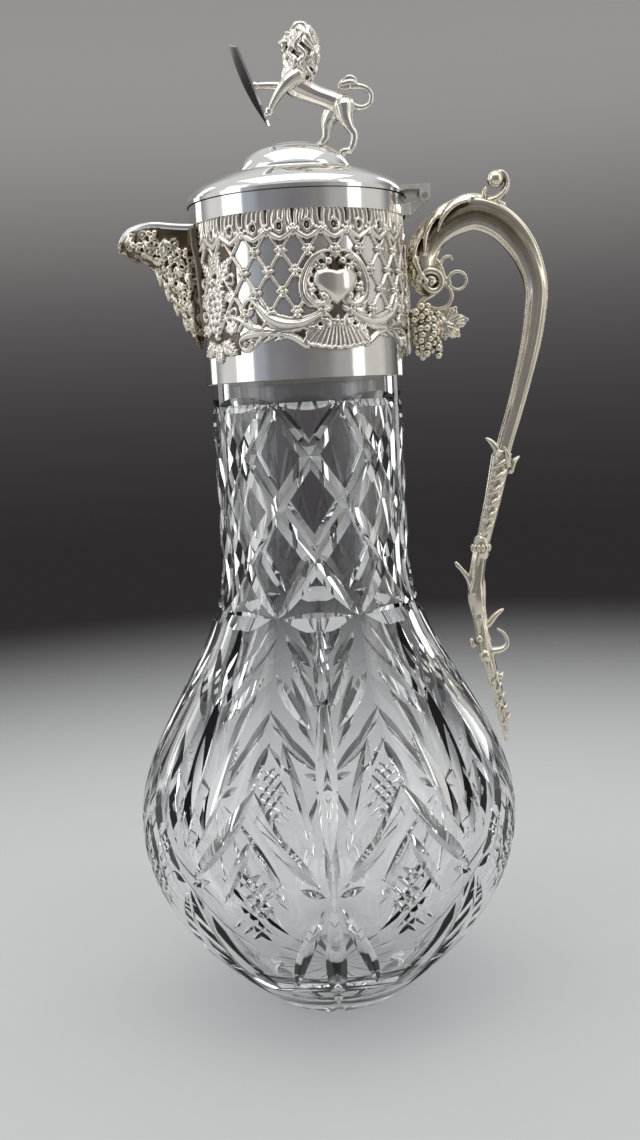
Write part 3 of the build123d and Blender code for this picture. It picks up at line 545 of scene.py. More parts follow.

# %% [markdown]
# ## Silver plate
# The mounts are brass, cast, chased and plated with silver. Silver mirrors almost all light with a
# faint warm tint. Hollows that a cloth never reaches keep a brown tarnish, and that brown is what
# makes relief readable. So the colour follows two things: how enclosed a spot is, which the renderer
# measures, and a "hollow" value that a mesh may carry for grooves too fine to measure that way. On
# the handle's side channels and under the spout's nose the same brown is painted shade.

# %% Bright, chased and cast silver plate
def silver_plate(name, clean, tarnish_and_shade, roughness, reach, tarnish_share, grain, among_others=False):
    """Metal that darkens where it is enclosed within reach millimetres, with fine polishing marks."""
    material, tree = new_material(name)
    place = add_node(tree, "ShaderNodeTexCoord").outputs["Object"]
    enclosed = add_node(tree, "ShaderNodeAmbientOcclusion", {"Distance": reach * MM},
                        samples=6, only_local=not among_others)
    shut_in = add_node(tree, "ShaderNodeMapRange",
                       {"Value": enclosed.outputs["AO"], "From Min": 0.25, "From Max": 0.85,
                        "To Min": tarnish_share, "To Max": 0.0}, interpolation_type="SMOOTHSTEP")
    # The mesh's hollow value: tarnish in grooves, and painted shade on the handle's channels and under the
    # spout's nose.
    hollow = add_node(tree, "ShaderNodeAttribute", attribute_name="hollow")
    hollow = add_node(tree, "ShaderNodeMath", {0: hollow.outputs["Fac"], 1: shut_in}, operation="MAXIMUM")
    blotches = add_node(tree, "ShaderNodeTexNoise",
                        {"Vector": place, "Scale": 1 / (9 * MM), "Detail": 4.0, "Roughness": 0.6})
    drift = add_node(tree, "ShaderNodeMapRange",
                     {"Value": blotches.outputs["Fac"], "From Min": 0.35, "From Max": 0.75,
                      "To Min": 0.0, "To Max": 0.14 * tarnish_share})
    share = add_node(tree, "ShaderNodeMath", {0: hollow, 1: drift}, operation="ADD", use_clamp=True)
    colour = add_node(tree, "ShaderNodeMix", {0: share, 6: linear(clean), 7: linear(tarnish_and_shade)},
                      data_type="RGBA")
    marks = add_node(tree, "ShaderNodeTexNoise",
                     {"Vector": place, "Scale": 1 / (1.2 * MM), "Detail": 5.0, "Roughness": 0.7})
    rough = add_node(tree, "ShaderNodeMapRange",
                     {"Value": marks.outputs["Fac"], "From Min": 0.3, "From Max": 0.8,
                      "To Min": roughness * 0.75, "To Max": roughness * 1.35})
    rough = add_node(tree, "ShaderNodeMath", {0: share, 1: 0.25, 2: rough}, operation="MULTIPLY_ADD")
    bump = add_node(tree, "ShaderNodeBump", {"Height": marks.outputs["Fac"], "Distance": grain * MM,
                                             "Strength": 0.5})
    metal = add_node(tree, "ShaderNodeBsdfPrincipled",
                     {"Base Color": colour.outputs[2], "Metallic": 1.0, "Roughness": rough,
                      "Normal": bump})
    add_node(tree, "ShaderNodeOutputMaterial", {"Surface": metal})
    return material


BRIGHT_SILVER = silver_plate("bright_silver_plate", "#F3F2EF", "#6A5A4B", 0.08, 1.2, 0.6, 0.006)
# The collar tube's darkening also counts the overlay sheet, so the tube turns brown where the sheet stands
# close in front of it.
COLLAR_SILVER = silver_plate("collar_silver_plate", "#F0EEEA", "#5A4B3E", 0.09, 2.6, 0.75, 0.008, True)
CHASED_SILVER = silver_plate("chased_silver_plate", "#F6F1E6", "#49372A", 0.13, 1.4, 0.85, 0.020)
# Its brown is also painted shade on the handle's channels and under the spout's nose.
CAST_SILVER = silver_plate("cast_silver_plate", "#F3EBD8", "#4B3922", 0.14, 1.6, 0.95, 0.025)
# The leaves of the hinge are filed and brushed, and never polished.
BRUSHED_SILVER = silver_plate("brushed_silver_plate", "#F3F0E8", "#6A5A48", 0.42, 1.5, 0.4, 0.030)
print("made five kinds of silver plate")

# %% Brass and plaster
def set_plaster():
    """The cement between the collar and the glass: chalky, off-white and quite matt."""
    material, tree = new_material("set_plaster")
    place = add_node(tree, "ShaderNodeTexCoord").outputs["Object"]
    grain = add_node(tree, "ShaderNodeTexNoise",
                     {"Vector": place, "Scale": 1 / (1.5 * MM), "Detail": 6.0, "Roughness": 0.65})
    colour = add_node(tree, "ShaderNodeMix",
                      {0: grain.outputs["Fac"], 6: linear("#CFC8B9"), 7: linear("#E2DDD1")}, data_type="RGBA")
    bump = add_node(tree, "ShaderNodeBump", {"Height": grain.outputs["Fac"], "Distance": 0.05 * MM})
    matt = add_node(tree, "ShaderNodeBsdfPrincipled",
                    {"Base Color": colour.outputs[2], "Roughness": 0.9, "Normal": bump})
    add_node(tree, "ShaderNodeOutputMaterial", {"Surface": matt})
    return material


# The nuts inside the lid are not plated: yellow metal with a dull brown bloom.
BRASS = silver_plate("bare_turned_brass", "#D9B566", "#5C4420", 0.24, 1.5, 0.8, 0.02)
PLASTER = set_plaster()
print("made", BRASS.name, "and", PLASTER.name)

# %% [markdown]
# ## Relief as a height map
# The collar's ornament is raised sheet: lattice, tongues, scrolls, a heart, a shell and bunches of
# grapes. It could be built from hundreds of small parts. A chaser sees it as one sheet with hills,
# though, and so does this cell: it works out how high the metal stands at each angle and height,
# takes the highest of all motifs, and bends that map round the collar. Each motif is a short list
# of (angle, height) places, drawn for one side of the heart and mirrored.

# %% Curves through a few places
def smooth_line(places, step_count=10):
    """A Catmull-Rom curve through a few places, as an array."""
    knots = [np.array(place, float) for place in places]
    knots = [2 * knots[0] - knots[1]] + knots + [2 * knots[-1] - knots[-2]]
    line = []
    for a, b, c, d in zip(knots, knots[1:], knots[2:], knots[3:]):
        for t in np.arange(step_count) / step_count:
            line.append(0.5 * (2 * b + (c - a) * t + (2 * a - 5 * b + 4 * c - d) * t ** 2
                               + (3 * b - a - 3 * c + d) * t ** 3))
    line.append(knots[-2])
    return np.array(line)


def nearest(across, height, line):
    """For each grid place, the distance to a line and the share of its length at the nearest point."""
    best = np.full(across.shape, 1e9)
    share = np.zeros(across.shape)
    count = len(line) - 1
    for index, (start, end) in enumerate(zip(line, line[1:])):
        way = end - start
        along = ((across - start[0]) * way[0] + (height - start[1]) * way[1]) / max(way @ way, 1e-9)
        along = np.clip(along, 0, 1)
        distance = np.hypot(across - start[0] - along * way[0], height - start[1] - along * way[1])
        closer = distance < best
        best = np.where(closer, distance, best)
        share = np.where(closer, (index + along) / count, share)
    return best, share


print("a curve through 3 places has", len(smooth_line([(0, 0), (1, 1), (2, 0)])), "points")

# %% Ridges and balls
HOLLOW = -0.3        # where the sheet is pierced it dips behind the collar's own surface
BACKING = 0.12       # where it is whole but plain it lies just before that surface


def ridge(across, height, places, width, rise, start_width, end_width, grooves=0):
    """A rounded bar along a curve, whose half width runs from start_width through width to end_width."""
    distance, share = nearest(across, height, smooth_line(places))
    half = np.interp(share, [0, 0.4, 1], [start_width, width, end_width])
    bend = np.clip(1 - (distance / half) ** 2, 0, 1)
    hill = rise * np.sqrt(bend) * np.minimum(1, 0.45 + 0.55 * half / width)
    if grooves:
        hill -= 0.16 * rise * (1 - np.cos(2 * pi * grooves * distance / half)) * (bend > 0)
    return np.where(bend > 0, hill, HOLLOW)


def ball(across, height, place, radius, rise):
    bend = np.clip(1 - ((across - place[0]) ** 2 + (height - place[1]) ** 2) / radius ** 2, 0, 1)
    return np.where(bend > 0, rise * (0.35 + 0.65 * np.sqrt(bend)), HOLLOW)


print("the sheet lies from", HOLLOW, "to", BACKING, "mm about the collar where nothing stands on it")

# %% Flowers and leaves
def petals(across, height, place, radius, count, turn, rise):
    """A flower with pointed petals and a round middle."""
    x, y = across - place[0], height - place[1]
    away = np.hypot(x, y)
    swing = np.abs(np.cos(count / 2 * (np.arctan2(y, x) - radians(turn))))
    edge = radius * (0.42 + 0.58 * swing ** 1.5)
    bend = np.clip(1 - (away / edge) ** 2, 0, 1)
    hill = np.where(bend > 0, rise * (0.35 + 0.5 * swing * bend ** 0.4), HOLLOW)
    return np.maximum(hill, ball(across, height, place, radius * 0.3, rise * 1.1))


def leaf_form(across, height, root, tip, width, lobes, rise):
    """A leaf from root to tip with lobed sides, a midrib and side veins."""
    way = np.array(tip, float) - np.array(root, float)
    length = np.hypot(*way)
    way /= length
    x, y = across - root[0], height - root[1]
    along = (x * way[0] + y * way[1]) / length
    side = np.abs(-x * way[1] + y * way[0])
    outline = width * np.sin(pi * np.clip(along, 0, 1) ** 0.75) ** 0.8
    outline *= 0.72 + 0.28 * np.abs(np.cos(pi * lobes * along))
    inside = (along > 0) & (along < 1) & (side < outline)
    slope = np.clip(1 - side / np.maximum(outline, 1e-6), 0, 1)
    veins = np.cos(2 * pi * (along * lobes * 2 - side / width))
    hill = rise * (0.45 + 0.4 * slope ** 0.5 + 0.12 * veins)
    hill -= 0.3 * rise * np.exp(-(side / 0.18) ** 2)
    return np.where(inside, hill, HOLLOW)


print("a leaf is", round(float(leaf_form(0.0, 1.5, (0, 0), (0, 3), 1.0, 3, 1.0)), 2), "high on its midrib")

# %% Draw one repeat of the collar's ornament
REPEAT = 71.0                  # degrees from the middle of a heart to the middle of a grape bunch
COLUMN = 14.2                  # degrees from one column of the lattice to the next
ROW = 6.0
LATTICE_ROW = COLLAR_TOP - 11.8
MM_PER_DEGREE = radians(1) * (COLLAR_RADIUS + 1.0)
HALF_COLUMN = COLUMN / 2 * MM_PER_DEGREE

# Places are (degrees from the heart's middle, height above the collar's lower edge).
FRAME_SCROLL = [(3.8, 34.2), (7.1, 35.8), (11.3, 34.8), (14.5, 31.9), (16.7, 28.1), (16.3, 24.7),
                (13.5, 22.5), (9.6, 21.6), (6.8, 22.2), (5.6, 23.6), (7.4, 24.6)]
FRAME_BAND = [(0.0, 35.2), (2.6, 37.0), (7.0, 36.9), (13.1, 35.0), (17.6, 30.8), (19.2, 26.9), (17.8, 23.0),
              (14.4, 21.0)]
HEART = [(0.0, 31.8), (3.5, 32.4), (7.5, 32.3), (11.4, 31.0), (12.4, 28.0), (8.8, 25.0), (3.7, 22.8),
         (0.0, 21.6)]
SWAG = [(42.5, 22.4), (40.0, 20.6), (36.5, 18.6), (31.1, 16.9), (25.2, 16.2), (19.3, 16.4), (13.3, 17.6),
        (7.9, 19.3), (4.0, 20.6)]
SWAG_CURL = [(42.5, 22.4), (45.0, 24.2), (48.6, 24.0), (50.6, 22.0), (49.4, 20.0), (46.6, 19.8), (45.6, 21.4)]
SWAG_TAIL = [(65.4, 19.0), (59.9, 19.6), (52.3, 18.2), (46.3, 16.0), (37.4, 14.8), (28.3, 14.3), (20.8, 14.9)]
LOW_SCROLL = [(47.0, 11.2), (49.6, 9.6), (52.9, 10.2), (53.6, 12.4), (50.0, 13.6), (45.0, 13.9), (37.5, 13.9),
              (29.9, 13.4), (24.0, 12.3), (19.7, 10.6), (16.9, 9.4)]
LOW_FLAMES = [[(46.0, 10.0), (42.0, 12.4), (38.0, 13.4)], [(40.5, 11.2), (36.0, 12.6), (32.0, 13.2)],
              [(34.0, 11.6), (30.0, 12.4), (26.5, 12.6)]]
# A scroll is its line, its half width and rise, its half width at either end, and its grooves; a bud
# is its place, radius and rise.
SCROLLS = [(SWAG_TAIL, 1.2, 1.3, 0.7, 0.9, 1), (SWAG, 2.6, 2.0, 1.6, 0.9, 1), (SWAG_CURL, 0.8, 1.3, 1.2, 0.6),
           (LOW_SCROLL, 1.2, 1.5, 1.0, 0.9, 1)] + [(flame, 0.65, 1.0, 0.25, 0.5) for flame in LOW_FLAMES]
BUDS = [((46.6, 21.0), 0.9, 1.6), ((50.6, 11.3), 0.8, 1.4)]
FRAME = [(FRAME_BAND, 0.75, 1.5, 0.6, 0.6), (FRAME_SCROLL, 1.5, 1.8, 0.9, 1.5, 1)]
FRAME_BUDS = [((3.8, 34.2), 1.25, 2.0), ((7.2, 24.0), 1.2, 1.9), ((14.2, 27.4), 0.7, 1.2),
              ((13.4, 30.4), 0.65, 1.2), ((10.8, 32.9), 0.6, 1.2), ((14.0, 24.9), 0.6, 1.2)]
print("one repeat of the ornament is", round(REPEAT * MM_PER_DEGREE, 1), "mm wide")

# %% The lattice and the tongues over it
CORD = 0.6                     # half width of the lattice's cords
CORD_RISE = 0.95


def at(places):
    """Places of (degrees, height) with both in millimetres."""
    return [(angle * MM_PER_DEGREE, height) for angle, height in places]


def highest(forms):
    return np.maximum.reduce(forms)


def lattice(u, v):
    """Crossed cords, tied on each crossing by a knot of four balls round a fifth."""
    row_v = LATTICE_ROW - COLLAR_BOTTOM
    forms = []
    for lean in (-1, 1):
        phase = (u / HALF_COLUMN + lean * (v - row_v) / ROW) / 2
        off = np.abs(phase - np.round(phase)) * 2 * HALF_COLUMN * ROW / hypot(HALF_COLUMN, ROW)
        cord = np.where(off < CORD, CORD_RISE * np.sqrt(np.clip(1 - (off / CORD) ** 2, 0.1, 1)), HOLLOW)
        forms.append(np.where((v > 15) & (v < 43), cord, HOLLOW))
    for row in range(-1, 5):
        for column in range(-1, 8):
            x, y = column * HALF_COLUMN, row_v - row * ROW
            if (row + column) % 2 == 0 and y > 17:
                forms.append(ball(u, v, (x, y), 0.7, 1.7))
                forms += [ball(u, v, (x + 1.3 * a, y + 1.2 * b), 0.74, 1.4)
                          for a, b in ((-1, 0.15), (1, 0.15), (0, -1), (0, 1))]
    return highest(forms)


def tongues(degrees_out, v):
    """A folded leaf with an eye at each column, and a rolled edge below."""
    off = (degrees_out / COLUMN - np.round(degrees_out / COLUMN)) * COLUMN * MM_PER_DEGREE
    side = np.abs(off) / HALF_COLUMN
    above = v - (40.3 + 2.6 * side ** 1.25)
    slant = off * (1 + 0.035 * np.clip(above, 0, 9)) + 0.25 * np.sin(0.9 * above)
    folds = np.cos(2 * pi * slant / 1.95)
    tongue = 0.75 + 0.26 * folds * np.clip((above - 1.8) / 2, 0, 1)
    tongue -= 0.5 * np.clip((side - 0.86) / 0.14, 0, 1) * np.clip((above - 1.6) / 1.5, 0, 1)
    tongue = np.maximum(tongue, 1.5 * np.sqrt(np.clip(1 - ((above - 0.9) / 1.0) ** 2, 0, 1)))
    eye = np.sqrt((off / 1.0) ** 2 + ((v - 44.9) / 1.45) ** 2)
    tongue = np.where(eye < 0.95, 0.1 + 0.75 * np.clip(1 - eye / 0.55, 0, 1), tongue)
    tongue = np.maximum(tongue, np.where(np.abs(eye - 1.15) < 0.3, 1.15, HOLLOW))
    return np.where(above > 0, tongue, HOLLOW)


crossing = ball(np.zeros(1), np.zeros(1), (0, 0), 0.7, 1.7)
print("a knot of the lattice stands", round(float(crossing[0]), 2), "mm high")

# %% The scrolls, the shell and the heart
SHELL_HUB = 22.0               # the flutes of the shell fan out from here


def whole_ground(u, v):
    """Behind the scrolls, the shell and the grapes the sheet is whole, and it has gone brown there."""
    band, swag, scroll = (smooth_line(at(line), steps) for line, steps in
                          ((FRAME_BAND, 8), (SWAG, 10), (LOW_SCROLL[3:], 10)))
    frame_edge = np.interp(v, band[::-1, 1], band[::-1, 0])
    whole = (np.abs(u) < frame_edge) & (v > 20.5) & (v < 36.0)
    whole |= (np.abs(np.abs(u) - REPEAT * MM_PER_DEGREE) < 9.6) & (v > 8.0) & (v < 41.0)
    swag_low = np.interp(u, swag[::-1, 0], swag[::-1, 1])
    scroll_high = np.interp(u, scroll[::-1, 0], scroll[::-1, 1])
    whole |= (v < swag_low) & (v > np.maximum(scroll_high, 9.5)) & (u < 44 * MM_PER_DEGREE)
    return np.where(whole, BACKING, HOLLOW)


def scrollwork(u, v, scrolls, buds):
    forms = [ridge(u, v, at(line), *how) for line, *how in scrolls]
    return highest(forms + [ball(u, v, at([place])[0], radius, rise) for place, radius, rise in buds])


def shell(u, v):
    """Fine flutes that fan out, with a scalloped edge, and a leafy bunch over it."""
    fan = np.arctan2(u, SHELL_HUB - v)
    low = 8.0 + 0.016 * u ** 2 + 0.5 * (1 - np.abs(np.cos(pi * u / 2.9)) ** 0.6)
    high = 15.9 - 0.02 * u ** 2
    flute = 0.7 + 0.42 * np.abs(np.cos(fan * pi / 0.12)) + 0.5 * np.exp(-((v - low - 0.45) / 0.42) ** 2)
    forms = [np.where((v > low) & (v < high) & (np.abs(u) < 10.2), flute, HOLLOW)]
    for x, y, size, turn in ((0, 16.4, 2.0, 90), (3.3, 15.4, 1.6, 20), (-3.3, 15.4, 1.6, 160),
                             (6.2, 14.2, 1.5, 0), (-6.2, 14.2, 1.5, 180)):
        forms.append(petals(u, v, (x, y), size, 5, turn, 1.55))
    for side in (-1, 1):
        for root, tip, width in (((1.2, 15.0), (6.6, 17.6), 1.3), ((4.4, 14.4), (10.6, 14.6), 1.2),
                                 ((8.6, 13.2), (11.4, 9.2), 1.1)):
            forms.append(leaf_form(u, v, (side * root[0], root[1]), (side * tip[0], tip[1]), width, 2, 1.4))
    return highest(forms)


def heart(u, v):
    """Where the heart is, and how far it bulges."""
    outline = smooth_line(at(HEART), 8)
    distance, _ = nearest(np.abs(u), v, outline)
    edge = np.interp(v, outline[::-1, 1], outline[::-1, 0])
    bulge = np.clip(1 - (u / 9.0) ** 2 - ((v - 28.6) / 8.6) ** 2, 0, 1)
    inside = (v < 32.3) & (v > 21.6) & (np.abs(u) < edge)
    return inside, 0.4 + 2.3 * bulge * np.clip(distance / 1.6, 0, 1) ** 0.5


print(len(SCROLLS) + len(FRAME), "scrolls and", len(BUDS) + len(FRAME_BUDS), "buds")

# %% The grapes, and all motifs as one map
def grape_bunch(u, v):
    """A bunch of grapes among vine leaves, about the middle of a repeat."""
    middle = REPEAT * MM_PER_DEGREE
    x = np.abs(u - middle)
    forms = [leaf_form(x, v, root, tip, width, 3, 1.3) for root, tip, width in
             (((1.0, 30.0), (7.8, 37.5), 2.6), ((0.5, 33.0), (2.5, 39.6), 2.2),
              ((2.0, 12.0), (8.8, 8.6), 2.6), ((0.0, 12.0), (0.8, 5.9), 2.4),
              ((4.5, 25.0), (9.6, 26.5), 2.0), ((4.0, 16.0), (9.8, 17.2), 2.2))]
    chance = np.random.default_rng(3)
    for row, count in enumerate((2, 3, 4, 4, 4, 3, 3, 2, 1)):
        for column in range(count):
            stray = chance.uniform(-0.35, 0.35, 2)
            spot = ((column - (count - 1) / 2) * 2.3 + stray[0], 30.6 - 2.0 * row + stray[1])
            forms.append(ball(u - middle, v, spot, 1.35, 1.7 + stray.sum() * 0.5))
    for curl in ([(5.2, 31.0), (7.2, 32.4), (8.6, 31.0), (7.8, 29.4), (6.6, 29.8)],
                 [(6.0, 21.0), (8.0, 22.2), (9.2, 20.8), (8.2, 19.4), (7.0, 20.0)]):
        forms.append(ridge(x, v, curl, 0.5, 1.0, 0.4, 0.4))
    return highest(forms)


def ornament(degrees_out, z):
    """How high the collar's sheet stands, in millimetres, at an angle from a heart's middle."""
    u = degrees_out * MM_PER_DEGREE
    v = z - COLLAR_BOTTOM
    hill = highest([lattice(u, v), tongues(degrees_out, v), whole_ground(u, v),
                    scrollwork(u, v, SCROLLS, BUDS), shell(u, v)])
    inside, bulge = heart(u, v)
    hill = np.where(inside, bulge, hill)
    return highest([hill, scrollwork(u, v, FRAME, FRAME_BUDS), grape_bunch(u, v)])


test_angles = np.linspace(0, REPEAT, 50)[None, :].repeat(30, 0)
test_heights = np.linspace(COLLAR_BOTTOM + 6, COLLAR_TOP, 30)[:, None].repeat(50, 1)
print("the ornament stands up to", round(float(ornament(test_angles, test_heights).max()), 2), "mm high")

# %% [markdown]
# ## From the map to a sheet
# The map is a grid of heights. Each place of it goes to its own angle round the jug and its own
# height, as far out as the metal stands there, and two more points in each column close the sheet at
# its back. Tarnish stays where polishing doesn't reach, so the same map, softened, tells where the
# metal lies lower than what surrounds it.

# %% Find the hollows of the map
SHEET_LOW = COLLAR_BOTTOM + 5.5
SHEET_END = 158.0              # degrees from the handle to where the sheet stops beside the spout
GRID = 0.33                    # millimetres between points


def blurred(heights, reach):
    """A height map softened over reach cells, first one way and then the other."""
    weights = np.exp(-np.linspace(-1.5, 1.5, 2 * reach + 1) ** 2)
    weights /= weights.sum()
    for axis in (0, 1):
        padded = np.pad(heights, [(reach, reach) if a == axis else (0, 0) for a in (0, 1)], mode="edge")
        size = heights.shape[axis]
        heights = sum(weight * np.take(padded, range(step, step + size), axis)
                      for step, weight in enumerate(weights))
    return heights


def hollows(rise):
    """0 on ridges and 1 in grooves: where the sheet lies lower than what surrounds it."""
    height = np.maximum(rise, 0)
    groove = (blurred(height, 4) - height - 0.05) / 0.3
    foot = (0.55 - height) / 0.5
    return np.clip(np.maximum(groove, foot), 0, 1)


print("the map has a place every", GRID, "mm")

# %% Bend the map round the collar
def wrapped_sheet():
    columns = int(2 * SHEET_END * MM_PER_DEGREE / GRID)
    rows = int((COLLAR_TOP - SHEET_LOW) / GRID)
    angles = np.linspace(-SHEET_END, SHEET_END, columns + 1)
    heights = np.linspace(SHEET_LOW, COLLAR_TOP, rows + 1)
    out = np.abs(np.abs(angles) - REPEAT)
    grid_out, grid_z = np.meshgrid(out, heights, indexing="ij")
    rise = ornament(grid_out, grid_z)
    rise[:, 0] = HOLLOW
    hollow = hollows(rise)
    back = COLLAR_RADIUS - 0.6
    points, faces = [], []
    ring = rows + 3
    for angle, strip in zip(angles, rise):
        c, s = cos(radians(angle)), sin(radians(angle))
        profile = [(COLLAR_RADIUS + h, z) for h, z in zip(strip, heights)]
        profile += [(back, COLLAR_TOP), (back, SHEET_LOW)]
        points += [(r * c, r * s, z) for r, z in profile]
    for column in range(columns):
        first, second = column * ring, (column + 1) * ring
        for row in range(ring):
            after = (row + 1) % ring
            faces.append((first + row, second + row, second + after, first + after))
    faces.append(tuple(range(ring)))
    faces.append(tuple(columns * ring + row for row in reversed(range(ring))))
    piece = new_piece("chased_collar_sheet", points, faces)
    shades = np.ones((columns + 1, ring))
    shades[:, :rows + 1] = hollow
    write_hollow(piece.data, shades)
    return piece


sheet = wrapped_sheet()
settle(sheet, "jug", "silver_plate", CHASED_SILVER, "pierced_overlay", "cartouche_near", "cartouche_far")

# %% [markdown]
# ## Casting
# The handle, the spout, the vine and the lion are castings. A caster presses a pattern in sand, and the
# pattern was built up from bars, balls and leaves of wax that melt into each other. The same is done
# here: closed bars and eggs overlap, and a voxel remesh melts them into one skin with soft joints.

# %% Wax bars
def unit(vector):
    return vector / np.linalg.norm(vector)


def bar(places, across=(0, 1, 0), ratio=1.0, thin=None, around=16, steps=8, relief=None):
    """A closed bar with round ends through (x, y, z, radius) places. The radius is measured at right
    angles to across; ratio scales the bar along across, and thin gives that half width in mm instead."""
    line = smooth_line(places, steps)
    ways = np.gradient(line[:, :3], axis=0)
    rings = []
    for share, (station, way) in zip(np.linspace(0, 1, len(line)), zip(line, ways)):
        rings.append((station[:3], station[3], unit(way), share, 1.0))
    for end, sign in ((0, -1), (-1, 1)):
        spot, radius, way, share, _ = rings[end]
        caps = [(spot + sign * way * radius * 0.95 * sin(radians(a)), radius, way, share, cos(radians(a)))
                for a in (35, 62, 82)]
        rings = list(reversed(caps)) + rings if sign < 0 else rings + caps
    points = []
    for spot, radius, way, share, shrink in rings:
        side = unit(np.array(across) - way * (np.array(across) @ way))
        lift = np.cross(way, side)
        for turn in np.arange(around) * 2 * pi / around:
            out = radius if relief is None else radius + relief(share, turn)
            wide = thin if thin is not None else out * ratio
            points.append(spot + shrink * (lift * out * cos(turn) + side * wide * sin(turn)))
    return points, skin(len(rings), around)


print("a bar through 3 places has", len(bar([(0, 0, 0, 1), (0, 0, 5, 1), (0, 0, 9, 1)])[0]), "points")

# %% Eggs, beads and leaves of wax
def egg(place, radii, tilt=0.0, across=14):
    """An egg with its own radii along x, y and z, tilted about y."""
    rows = across // 2
    points, faces = spun([(sin(pi * row / rows), cos(pi * row / rows)) for row in range(rows + 1)], across)
    c, s = cos(radians(tilt)), sin(radians(tilt))
    points = [(x * radii[0], y * radii[1], z * radii[2]) for x, y, z in points]
    return [(place[0] + c * x + s * z, place[1] + y, place[2] - s * x + c * z) for x, y, z in points], faces


def bead(place):
    """A small ball at a place of (x, y, z, radius)."""
    return egg(place[:3], (place[3],) * 3, across=10)


def from_here(x, z, places):
    """Places of (x, y, z, radius) that are measured from a point in the jug's middle plane."""
    return [(x + across, y, z + up, radius) for across, y, up, radius in places]


def closed_sheet(columns, rows):
    """Faces of a thick sheet, from a grid of points in columns and a second one behind it."""
    behind = columns * rows
    faces = []
    for column in range(columns - 1):
        for spot in range(column * rows, (column + 1) * rows - 1):
            quad = (spot, spot + rows, spot + rows + 1, spot + 1)
            faces += [quad, tuple(behind + corner for corner in reversed(quad))]
    edge = list(range(0, behind, rows)) + list(range(behind - rows + 1, behind))
    edge += list(range(behind - rows - 1, 0, -rows)) + list(range(rows - 2, 0, -1))
    return faces + [(b, a, behind + a, behind + b) for a, b in zip(edge, edge[1:] + edge[:1])]


def flat_leaf(places, across, thin=0.4, lobes=3, depth=0.3):
    """A bar pressed flat, whose width waves in lobes: a leaf of wax."""
    def waves(share, turn):
        return -depth * abs(sin(pi * lobes * share)) * cos(turn) ** 2
    return bar(places, across, thin=thin, steps=6, relief=waves)


print("an egg has", len(egg((0, 0, 0), (1, 1, 1))[0]), "points")

# %% Melt the wax into one skin
FINE_ROUNDS, BROAD_ROUNDS = 8, 40          # how often a skin is smoothed to find its grooves


def mark_hollows(mesh, dull=None):
    """Write 1 where the skin lies lower than it would be if it were smoothed, and 0 on what stands out."""
    count = len(mesh.vertices)
    ends = read_all(mesh.edges, "vertices", 2, np.int32)
    here, there = np.concatenate([ends[:, 0], ends[:, 1]]), np.concatenate([ends[:, 1], ends[:, 0]])
    places = read_all(mesh.vertices, "co", 3, float)
    facing = read_all(mesh.vertex_normals, "vector", 3)
    neighbours = np.maximum(np.bincount(here, minlength=count), 1)
    soft = places.copy()
    hollow = np.zeros(count)
    for step in range(1, BROAD_ROUNDS + 1):
        for axis in range(3):
            total = np.bincount(here, weights=soft[there, axis], minlength=count)
            soft[:, axis] = 0.4 * soft[:, axis] + 0.6 * total / neighbours
        if step in (FINE_ROUNDS, BROAD_ROUNDS):
            depth = ((soft - places) * facing).sum(axis=1)
            start, full = (0.01, 0.10) if step == FINE_ROUNDS else (0.04, 0.30)
            hollow = np.maximum(hollow, np.clip((depth - start) / (full - start), 0, 1))
    if dull is not None:
        hollow = np.maximum(hollow, dull(places))
    write_hollow(mesh, hollow)


def cast(name, shells, fineness, smoothing=2, dull=None):
    """Melt overlapping closed shapes into one skin. Dull may say from a place how brown it is painted:
    tarnish, and on some pieces painted shade.
    """
    points, faces = joined(shells)
    pattern = bpy.data.meshes.new("wax")
    pattern.from_pydata([tuple(point) for point in points], [], faces)
    wax = put_in_scene("wax", pattern)
    melt = wax.modifiers.new("melt", "REMESH")
    melt.mode = "VOXEL"
    melt.voxel_size = fineness
    soften = wax.modifiers.new("soften", "SMOOTH")
    soften.factor = 0.5
    soften.iterations = smoothing
    mesh = keep_changes(wax)
    bpy.data.objects.remove(wax)
    bpy.data.meshes.remove(pattern)
    mark_hollows(mesh, dull)
    mesh.transform(Matrix.Scale(MM, 4))
    mesh.name = name
    mesh.shade_smooth()
    return put_in_scene(name, mesh)


print("casting tools ready")

# %% [markdown]
# ## Balls by rule
# Grapes cover a bunch and beads run round a ring: the same ball again and again, placed by a rule.
# A node tree states the rule once, with its sizes as named inputs and a fixed seed for its chance.
# The balls are made real, joined to what carries them and kept as a plain mesh.

# %% What both node trees share
def ball_tree(name, sizes):
    """A geometry tree with named inputs, and its group input and output nodes."""
    tree = bpy.data.node_groups.new(name, "GeometryNodeTree")
    tree.interface.new_socket("Geometry", in_out="INPUT", socket_type="NodeSocketGeometry")
    tree.interface.new_socket("Geometry", in_out="OUTPUT", socket_type="NodeSocketGeometry")
    for label, kind in sizes:
        tree.interface.new_socket(label, in_out="INPUT", socket_type="NodeSocket" + kind)
    return tree, add_node(tree, "NodeGroupInput").outputs, add_node(tree, "NodeGroupOutput")


def balls_on(tree, given, result, points, ball, scale):
    """End a tree: a ball on each point, made real, joined to the carrier and given its material."""
    placed = add_node(tree, "GeometryNodeInstanceOnPoints",
                      {"Points": points, "Instance": ball, "Scale": scale})
    real = add_node(tree, "GeometryNodeRealizeInstances", {"Geometry": placed})
    both = add_node(tree, "GeometryNodeJoinGeometry", {"Geometry": real})
    tree.links.new(given["Geometry"], both.inputs["Geometry"])
    smooth = add_node(tree, "GeometryNodeSetShadeSmooth", {"Geometry": both})
    dressed = add_node(tree, "GeometryNodeSetMaterial", {"Geometry": smooth, "Material": given["Material"]})
    tree.links.new(dressed.outputs[0], result.inputs["Geometry"])
    return tree


print("each tree ends in Realize Instances and Set Material")

